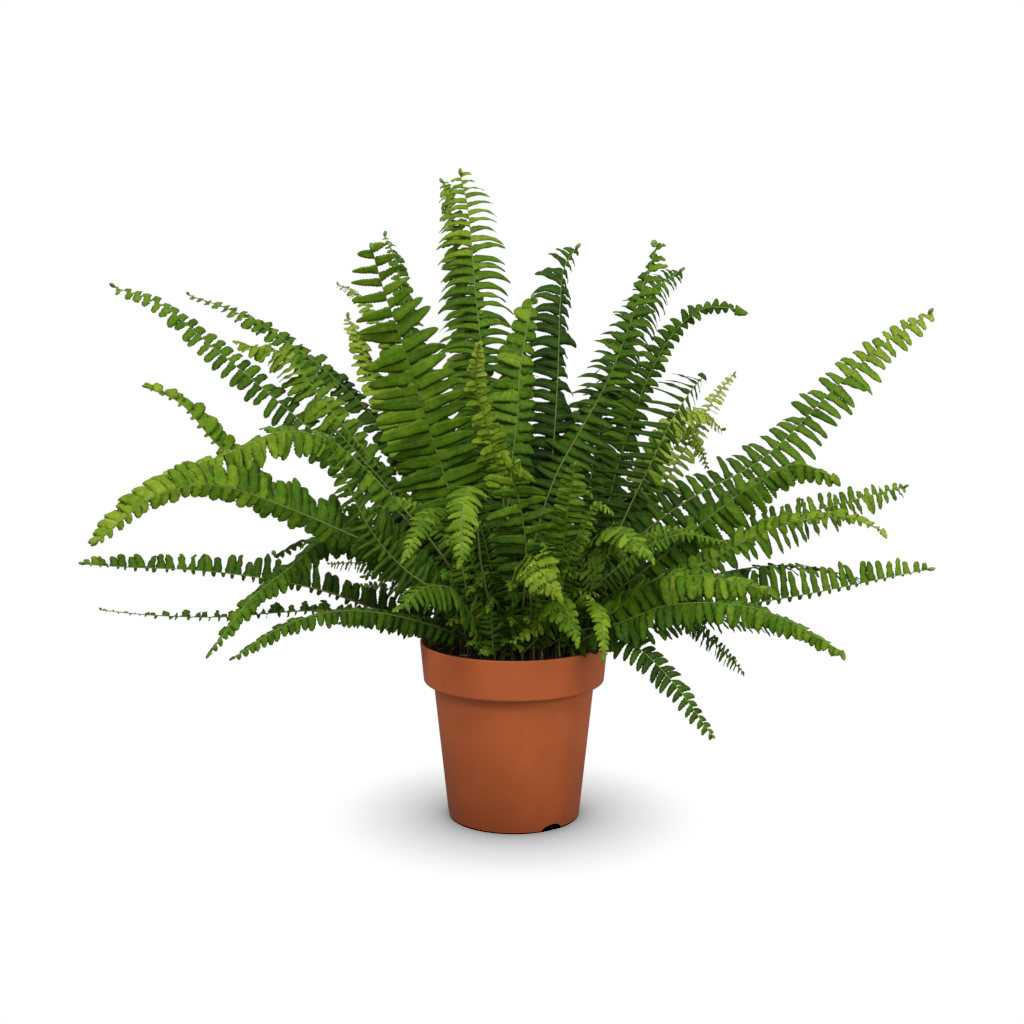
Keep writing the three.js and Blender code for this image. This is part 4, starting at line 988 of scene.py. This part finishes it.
def smooth(thing, sharp):
    """Shades it smooth but for the edges between faces that meet at more than sharp degrees."""
    thing.data.shade_smooth()
    thing.data.set_sharp_from_angle(angle=math.radians(sharp))


def cut(thing, cutters):
    """Cuts the cutters from thing, and takes them away."""
    for cutter in cutters:
        cutting = thing.modifiers.new(cutter.name, "BOOLEAN")
        cutting.operation = "DIFFERENCE"
        cutting.solver = "EXACT"
        cutting.object = cutter
    bpy.context.view_layer.update()
    shape = thing.evaluated_get(bpy.context.evaluated_depsgraph_get())
    data = bpy.data.meshes.new_from_object(shape)
    thing.modifiers.clear()
    thing.data = data
    for cutter in cutters:
        bpy.data.objects.remove(cutter)


def cylinder(segments, radius, depth):
    mesh = bmesh.new()
    bmesh.ops.create_cone(mesh, cap_ends=True, segments=segments, radius1=radius, radius2=radius, depth=depth)
    return mesh


def notch_cutter(degrees):
    """A low arch through the foot ring."""
    mesh = cylinder(NOTCH_SEGMENTS, 1, 1)
    for vert in mesh.verts:
        x, y, z = vert.co
        vert.co = Vector((FOOT_RADIUS + 3 * FOOT_RING_WIDTH * z, x * NOTCH_WIDTH / 2, y * NOTCH_HEIGHT)) * MM
    turn = Matrix.Rotation(math.radians(degrees), 3, "Z")
    bmesh.ops.rotate(mesh, cent=(0, 0, 0), matrix=turn, verts=mesh.verts)
    bmesh.ops.recalc_face_normals(mesh, faces=mesh.faces)
    return piece_from(mesh, f"notch_{degrees}")


def drain_cutter(i):
    mesh = cylinder(DRAIN_SEGMENTS, DRAIN_RADIUS * MM, 6 * (FLOOR_LIFT + WALL) * MM)
    angle = (i + 0.5) * math.tau / DRAIN_HOLES
    place = Vector((DRAIN_CIRCLE * math.cos(angle), DRAIN_CIRCLE * math.sin(angle), 0)) * MM
    bmesh.ops.translate(mesh, verts=mesh.verts, vec=place)
    return piece_from(mesh, f"drain_{i}")


def pot_piece(material):
    ring_inside = FOOT_RADIUS - FOOT_RING_WIDTH
    bead_out, bead_height = COLLAR_BEAD
    corners = [  # each one's radius and height, and how far it is rounded
        ((0, 0), 0),
        ((PAD_RADIUS, 0), 0.5),
        ((PAD_RADIUS + PAD_SLOPE, FLOOR_LIFT), 0.5),
        ((ring_inside, FLOOR_LIFT), 0.5),
        ((ring_inside, 0), 0.5),
        ((FOOT_RADIUS, 0), 1.1),
        ((NECK_RADIUS, COLLAR_FOOT_Z), 0.8),
        ((COLLAR_FOOT_RADIUS - COLLAR_UNDERCUT, COLLAR_FOOT_Z), 1.4),
        ((COLLAR_FOOT_RADIUS + bead_out, COLLAR_FOOT_Z + bead_height), 0.3),
        ((RIM_RADIUS, POT_HEIGHT), 0.75),
        ((RIM_RADIUS - WALL, POT_HEIGHT), 0.6),
        ((COLLAR_FOOT_RADIUS - WALL, COLLAR_FOOT_Z + WALL), 0.6),
        ((NECK_RADIUS - WALL, COLLAR_FOOT_Z + WALL), 0.6),
        ((FOOT_RADIUS - WALL, FLOOR_TOP), 1.5),
        ((0, FLOOR_TOP), 0),
    ]
    pot = piece_from(lathe(rounded(corners), POT_SEGMENTS), "pot_shell", material)
    cut(pot, [notch_cutter(a) for a in NOTCH_ANGLES] + [drain_cutter(i) for i in range(DRAIN_HOLES)])
    smooth(pot, POT_SHARP)
    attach(pot, "root")
    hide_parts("pot")


# ---- Soil ----
SOIL_RINGS = 70
SOIL_SEGMENTS = 220
SOIL_SHARP = 60
SOIL_GAP = 0.3  # between the soil and the pot's wall and floor
LEDGE_GAP = 0.35  # between the soil and the collar and its ledge
LEDGE_BEVEL = 0.6
SUNK = 0.4  # how much lower the surface lies than the solid's, before its lumps and crumbs
LUMPS = SimpleNamespace(scale=0.11, slice=3.1, roughness=0.9, lacunarity=2.1, octaves=5, height=1.5)
CRUMBS = SimpleNamespace(scale=0.55, slice=8.4, height=1.0)


def soil_height(x, y):
    """Height of the crumbly surface at a place in mm."""
    place = Vector((x * LUMPS.scale, y * LUMPS.scale, LUMPS.slice))
    lumps = noise.fractal(place, LUMPS.roughness, LUMPS.lacunarity, LUMPS.octaves) * LUMPS.height
    crumbs = abs(noise.noise(Vector((x * CRUMBS.scale, y * CRUMBS.scale, CRUMBS.slice)))) * CRUMBS.height
    return soil_top(x, y) - SUNK + lumps + crumbs


def soil_piece(material):
    widening = (RIM_RADIUS - COLLAR_FOOT_RADIUS) * (SOIL_RIM_Z - COLLAR_FOOT_Z) / COLLAR_HEIGHT
    edge = COLLAR_FOOT_RADIUS + widening - WALL - LEDGE_GAP
    ledge = COLLAR_FOOT_Z + WALL + LEDGE_GAP
    neck = NECK_RADIUS - WALL - SOIL_GAP
    floor = FLOOR_TOP + SOIL_GAP
    surface = [(edge * k / SOIL_RINGS, SOIL_RIM_Z) for k in range(SOIL_RINGS + 1)]
    sides = [(edge - LEDGE_BEVEL, ledge), (neck, ledge), (neck, COLLAR_FOOT_Z)]
    mesh = lathe([*surface, *sides, (FOOT_RADIUS - WALL - SOIL_GAP, floor), (0, floor)], SOIL_SEGMENTS)
    for vert in mesh.verts:
        if abs(vert.co.z - SOIL_RIM_Z * MM) < TINY:
            vert.co.z = soil_height(vert.co.x / MM, vert.co.y / MM) * MM
    soil = piece_from(mesh, "soil_surface", material)
    smooth(soil, SOIL_SHARP)
    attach(soil, "root")
    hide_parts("soil")


LITTER_SPREAD = 57
LITTER_LIMIT = 59
STRANDS = [  # how many, how long, how thick, how high their middles rise, and their material
    (260, (6, 20), (0.12, 0.28), (0, 2.2), 0),
    (26, (9, 22), (0.3, 0.5), (0.3, 2.5), 1),
]
STRAND_STEPS = 8
STRAND_SIDES = 5
STRAND_BEND = (-0.9, 0.9)
STRAND_UNEVEN = (0.6, 1)
CHIPS = 150
CHIP = SimpleNamespace(size=(1.0, 3.2), width=(0.45, 0.9), height=(0.25, 0.5), rough=(0.8, 1.2), raised=0.25)


def inside_pot(rng):
    r = LITTER_SPREAD * math.sqrt(rng.random())
    a = rng.uniform(0, math.tau)
    return r * math.cos(a), r * math.sin(a)


def strand(parts, rng, length, radius, lift, material):
    """A bent strand that lies on the soil."""
    x, y = inside_pot(rng)
    heading = rng.uniform(0, math.tau)
    bend = rng.uniform(*STRAND_BEND)
    line = []
    for k in range(STRAND_STEPS + 1):
        t = k / STRAND_STEPS
        angle = heading + bend * (t - 0.5) * 2
        px = x + math.cos(angle) * length * (t - 0.5)
        py = y + math.sin(angle) * length * (t - 0.5)
        r = math.hypot(px, py)
        if r > LITTER_LIMIT:
            px, py = px * LITTER_LIMIT / r, py * LITTER_LIMIT / r
        raised = lift * math.sin(math.pi * t) * rng.uniform(*STRAND_UNEVEN)
        line.append((px, py, soil_height(px, py) + radius + raised))
    thickness = [0.5 + 0.5 * math.sin(math.pi * k / STRAND_STEPS) for k in range(STRAND_STEPS + 1)]
    points, faces = tube(line, [radius * share for share in thickness], STRAND_SIDES)
    parts.add(points, faces, material, shade=rng.random())


def chip(parts, rng, material):
    """A crumb of bark or peat: a rough little block."""
    x, y = inside_pot(rng)
    size = rng.uniform(*CHIP.size)
    mesh = bmesh.new()
    bmesh.ops.create_icosphere(mesh, subdivisions=1, radius=1)
    shape = Vector((size, size * rng.uniform(*CHIP.width), size * rng.uniform(*CHIP.height)))
    spin = rng.uniform(0, math.tau)
    points = []
    for vert in mesh.verts:
        p = Vector([c * s * rng.uniform(*CHIP.rough) for c, s in zip(vert.co, shape)])
        points.append((x + p.x * math.cos(spin) - p.y * math.sin(spin),
                       y + p.x * math.sin(spin) + p.y * math.cos(spin),
                       soil_height(x, y) + CHIP.raised * size + p.z))
    faces = [tuple(v.index for v in face.verts) for face in mesh.faces]
    mesh.free()
    parts.add(points, faces, material, shade=rng.random())


def litter_piece(*materials):
    rng = random.Random(77)
    parts = Parts("shade")
    for count, length, radius, lift, material in STRANDS:
        for _ in range(count):
            strand(parts, rng, rng.uniform(*length), rng.uniform(*radius), rng.uniform(*lift), material)
    for _ in range(CHIPS):
        chip(parts, rng, len(STRANDS))
    litter = parts.piece("soil_litter", *materials)
    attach(litter, "root")


# ---- Materials ----
class Nodes:
    """A small hand for building the nodes of a material or a world. Colours are sRGB values from 0 to 255, or
    linear ones from 0 to 1 where they have a fourth value."""

    def __init__(self, owner, output="OutputMaterial"):
        owner.use_nodes = True
        self.owner, self.tree = owner, owner.node_tree
        self.tree.nodes.clear()
        self.output = self.node(output)

    def node(self, kind, settings=None, numbered=(), **named):
        """A node, its settings, and its inputs by number or by name."""
        made = self.tree.nodes.new(f"ShaderNode{kind}")
        for key, value in (settings or {}).items():
            setattr(made, key, value)
        for index, value in numbered:
            self.set(made.inputs[index], value)
        for key, value in named.items():
            self.set(made.inputs[key.replace("_", " ")], value)
        return made

    def set(self, socket, value):
        if isinstance(value, bpy.types.NodeSocket):
            self.tree.links.new(value, socket)
        else:
            socket.default_value = linear(value) if socket.type == "RGBA" else value

    def math(self, operation, a, b=0.0):
        return self.node("Math", {"operation": operation}, enumerate((a, b))).outputs[0]

    def add(self, a, b):
        return self.math("ADD", a, b)

    def times(self, a, b):
        return self.math("MULTIPLY", a, b)

    def less(self, a, b):
        return self.math("SUBTRACT", a, b)

    def swing(self, value, amount):
        """A value from 0 to 1, moved to both sides of 0 and made as large as amount."""
        return self.times(self.less(value, 0.5), amount)

    def mix(self, share, a, b):
        return self.node("Mix", {"data_type": "RGBA"}, [(0, share), (6, a), (7, b)]).outputs[2]

    def range(self, value, low, high, to_low=0.0, to_high=1.0):
        numbers = enumerate((value, low, high, to_low, to_high))
        return self.node("MapRange", {"clamp": True}, numbers).outputs[0]

    def value(self, name):
        return self.node("Attribute", {"attribute_name": name}).outputs["Fac"]

    def noise(self, scale, detail=4.0, roughness=0.55, vector=None):
        vector = vector or self.node("TexCoord").outputs["Object"]
        made = self.node("TexNoise", Scale=scale, Detail=detail, Roughness=roughness, Vector=vector)
        return made.outputs["Fac"]

    def ramp(self, share, *stops):
        made = self.node("ValToRGB", None, [(0, share)])
        elements = made.color_ramp.elements
        while len(elements) < len(stops):
            elements.new(0.5)  # its place comes next
        for element, (place, colour) in zip(elements, stops):
            element.position = place
            element.color = linear(colour)
        return made.outputs[0]

    def bump(self, height, distance, strength):
        return self.node("Bump", Height=height, Distance=distance, Strength=strength).outputs[0]

    def surface(self, colour, roughness, **more):
        return self.node("BsdfPrincipled", Base_Color=colour, Roughness=roughness, **more)

    def blend(self, share, one, two):
        """Two shaders mixed."""
        return self.node("MixShader", None, enumerate((share, one.outputs[0], two.outputs[0])))

    def finish(self, shader):
        self.set(self.output.inputs["Surface"], shader.outputs[0])
        return self.owner


def linear(colour):
    """Blender's linear colour of 0-255 sRGB values. A colour with a fourth value is linear already."""
    if len(colour) == 4:
        return colour
    shares = [c / 255 for c in colour]
    return (*(c / 12.92 if c <= 0.04045 else ((c + 0.055) / 1.055) ** 2.4 for c in shares), 1)


def nodes_of(name):
    return Nodes(bpy.data.materials.new(name))


LEAF = SimpleNamespace(
    tones=[(0.0, (22, 46, 4)), (0.3, (50, 84, 6)), (0.55, (84, 122, 10)), (0.8, (134, 160, 36)),
           (1.0, (174, 188, 74))],
    each=0.16,  # how much the tone differs between leaflets
    mottling=[(70.0, 0.36), (420.0, 0.5)],  # scales, and how much the tone differs
    mid_vein=(150, 172, 60),
    side_vein=(24, 56, 16),
    side_veins=(1.1, 5.6),  # how far they lean forward, and their pace along the leaflet
    edge=(170, 185, 90),
    blotch=(128, 120, 52),
    under=(112, 136, 56),
    through=(150, 190, 40),  # with the light behind it
)


def leaf_material():
    n = nodes_of("fern_leaf")
    tone = n.add(n.value("tone"), n.swing(n.value("shade"), LEAF.each))
    for scale, amount in LEAF.mottling:
        tone = n.add(tone, n.swing(n.noise(scale, 3.0), amount))
    green = n.ramp(tone, *LEAF.tones)
    off = n.math("ABSOLUTE", n.value("off"))
    colour = n.mix(n.range(off, 0.0, 0.16, 0.34, 0.0), green, n.mix(0.5, green, LEAF.mid_vein))
    lean, pace = LEAF.side_veins
    ribs = n.math("SINE", n.times(n.less(n.value("far"), n.times(off, lean)), pace))
    colour = n.mix(n.range(ribs, 0.2, 1.0, 0.0, 0.24), colour, LEAF.side_vein)
    colour = n.mix(n.range(off, 0.75, 1.0, 0.0, 0.4), colour, n.mix(0.5, green, LEAF.edge))
    blotch = n.range(n.noise(38.0, 6.0, 0.7), 0.68, 0.78)
    colour = n.mix(n.times(blotch, 0.35), colour, LEAF.blotch)
    colour = n.mix(n.value("below"), colour, n.mix(0.35, colour, LEAF.under))
    height = n.add(n.times(ribs, 0.4), n.times(n.noise(240.0, 4.0), 2.2))
    gloss = n.surface(colour, 0.5, Normal=n.bump(height, 0.0003, 0.8), Specular_IOR_Level=0.13)
    glow = n.node("BsdfTranslucent", Color=n.mix(0.55, colour, LEAF.through))
    return n.finish(n.blend(0.2, gloss, glow))


def stem_material():
    """Brown at the stem's foot, darker there as painted shade near the soil, and green from there on."""
    n = nodes_of("fern_stem")
    # the darkest brown at the foot is partly the stem's own colour, partly painted shade near the soil
    base = n.ramp(n.value("far"), (0.0, (38, 28, 14)), (0.16, (72, 66, 30)), (0.4, (100, 114, 42)),
                  (1.0, (98, 136, 40)))
    colour = n.mix(n.range(n.noise(160.0, 4.0), 0.35, 0.7, 0.0, 0.45), base, (70, 60, 28))
    normal = n.bump(n.noise(700.0, 3.0), 0.0002, 0.6)
    return n.finish(n.surface(colour, 0.5, Normal=normal))


def hair_material():
    n = nodes_of("fern_hair")
    colour = n.mix(n.noise(260.0), (96, 62, 30), (150, 108, 58))
    return n.finish(n.surface(colour, 0.7))


RINGS_SCALE = (60.0, 60.0, 1400.0)  # of the marks that the mould has left round the pot
# painted shade at the pot's foot: how high it reaches, and how uneven its top is
FOOT_SHADE_HEIGHT = 0.065  # in metres
FOOT_SHADE_UNEVEN = 0.02


def pot_material():
    n = nodes_of("pot_plastic")
    spot = n.node("TexCoord").outputs["Object"]
    colour = n.mix(n.range(n.noise(14.0, 5.0, 0.6), 0.35, 0.68), (172, 86, 42), (184, 94, 48))
    dust = n.range(n.noise(60.0, 8.0, 0.72), 0.56, 0.8, 0.0, 0.22)
    colour = n.mix(dust, colour, (200, 134, 92))
    # painted shade: the pot is darker towards its foot, where less light falls
    height_above = n.node("SeparateXYZ", Vector=spot).outputs["Z"]
    foot_shade = n.add(height_above, n.swing(n.noise(30.0), FOOT_SHADE_UNEVEN))
    colour = n.mix(n.range(foot_shade, 0.0, FOOT_SHADE_HEIGHT, 0.8, 0.0), colour, (120, 52, 20))
    specks = n.range(n.noise(330.0, 2.0, 0.4), 0.73, 0.77, 0.0, 0.6)
    colour = n.mix(specks, colour, (84, 48, 30))
    drag = n.node("Mapping", Vector=spot, Scale=RINGS_SCALE)
    rings = n.noise(1.0, 2.0, 0.5, drag.outputs[0])
    height = n.add(n.times(rings, 0.6), n.times(n.noise(900.0, 2.0), 0.5))
    rough = n.range(n.noise(26.0, 6.0), 0.3, 0.75, 0.4, 0.58)
    normal = n.bump(height, 0.00012, 0.5)
    return n.finish(n.surface(colour, rough, Normal=normal, Specular_IOR_Level=0.3))


def soil_material():
    n = nodes_of("soil_peat")
    colour = n.ramp(n.noise(240.0, 6.0, 0.7), (0.3, (12, 8, 5)), (0.5, (30, 20, 12)), (0.7, (64, 44, 26)))
    normal = n.bump(n.noise(420.0, 6.0, 0.7), 0.0012, 0.9)
    return n.finish(n.surface(colour, 0.95, Normal=normal))


def litter_material(name, dark, light):
    n = nodes_of(name)
    grain = n.add(n.times(n.value("shade"), 0.7), n.times(n.noise(300.0), 0.4))
    colour = n.mix(n.range(grain, 0.2, 0.9), dark, light)
    normal = n.bump(n.noise(900.0), 0.0003, 0.7)
    return n.finish(n.surface(colour, 0.85, Normal=normal))


# ---- Camera, floor and light ----
CLIP_END = 50
FLOOR_HALF = 12
FLOOR_GREY = 0.22
CONTACT_REACH = 0.085  # how far from the object its soft contact shadow reaches, in metres
CONTACT_DEPTH = 1.42
LIGHT_AIM = Vector((0, 0, 0.2))
WHITE = (1, 1, 1, 1)


def place_camera():
    data = bpy.data.cameras.new("camera")
    data.sensor_width = SENSOR
    data.lens = PHOTO_FOCAL * SENSOR / PHOTO_SIZE
    data.clip_end = CLIP_END
    camera = placed("camera", data)
    camera.location = EYE * MM
    camera.rotation_euler = (math.pi / 2 - PHOTO_TILT, 0, 0)
    bpy.context.scene.camera = camera


def floor_material():
    """White to the eye, with a soft contact shadow painted into its glow, and grey to bounced light."""
    n = nodes_of("floor_white")
    path = n.node("LightPath").outputs["Is Camera Ray"]
    # painted contact shadow: ambient occlusion near the object dims the glow that the camera sees
    hidden = n.less(1.0, n.node("AmbientOcclusion", Distance=CONTACT_REACH).outputs["AO"])
    seen = n.node("Emission", Strength=n.less(1.0, n.times(hidden, CONTACT_DEPTH)))
    lit = n.node("BsdfDiffuse", Color=(FLOOR_GREY, FLOOR_GREY, FLOOR_GREY, 1))
    return n.finish(n.blend(path, lit, seen))


def place_floor():
    mesh = bmesh.new()
    bmesh.ops.create_grid(mesh, x_segments=4, y_segments=4, size=FLOOR_HALF)
    floor = piece_from(mesh, "floor", floor_material())


def area_light(name, place, size, power):
    data = bpy.data.lights.new(name, "AREA")
    data.shape = "DISK"
    data.size = size
    data.energy = power
    lamp = placed(name, data)
    lamp.location = place
    lamp.rotation_euler = (LIGHT_AIM - Vector(place)).to_track_quat("-Z", "Y").to_euler()


def studio_world():
    """White behind the object; for its lighting, bright overhead and in front, and dim below and behind."""
    n = Nodes(bpy.data.worlds.new("studio"), "OutputWorld")
    towards = n.node("SeparateXYZ", Vector=n.node("TexCoord").outputs["Generated"])
    height = n.range(towards.outputs["Z"], -0.4, 1.0)
    front = n.range(towards.outputs["Y"], 1.0, -1.0)
    light = n.add(n.times(height, 0.97), n.times(front, 0.35))
    path = n.node("LightPath").outputs["Is Camera Ray"]
    strength = n.add(path, n.times(n.less(1.0, path), light))
    bpy.context.scene.world = n.finish(n.node("Background", Color=WHITE, Strength=strength))


def light_up():
    studio_world()
    area_light("key", (-0.7, -1.5, 1.9), 0.9, 29)
    area_light("fill", (1.5, -1.0, 1.0), 1.0, 19)
    bpy.context.scene.view_settings.view_transform = "Standard"


# ---- Everything together ----
place_camera()
place_floor()
light_up()
draws = drawing(BACK.seed)
for i in range(BACK.count):
    back_frond(i, draws)
take_seats()
for f in FRONDS:
    f.line = centre_line(f)
settle()
for f in FRONDS:
    f.bare = max(f.bare, BARE_LENGTH / Route(f.line).length)
    lay_route(f, f.line)
fern_materials = (leaf_material(), stem_material(), hair_material())
for index, f in enumerate(FRONDS):
    frond_piece(f, index, fern_materials)
sprig_pieces(fern_materials)
pot_piece(pot_material())
soil_piece(soil_material())
litter_piece(litter_material("soil_fibre", (46, 30, 18), (112, 78, 46)),
             litter_material("soil_straw", (150, 120, 74), (206, 182, 132)),
             litter_material("soil_bark", (36, 22, 14), (98, 64, 40)))
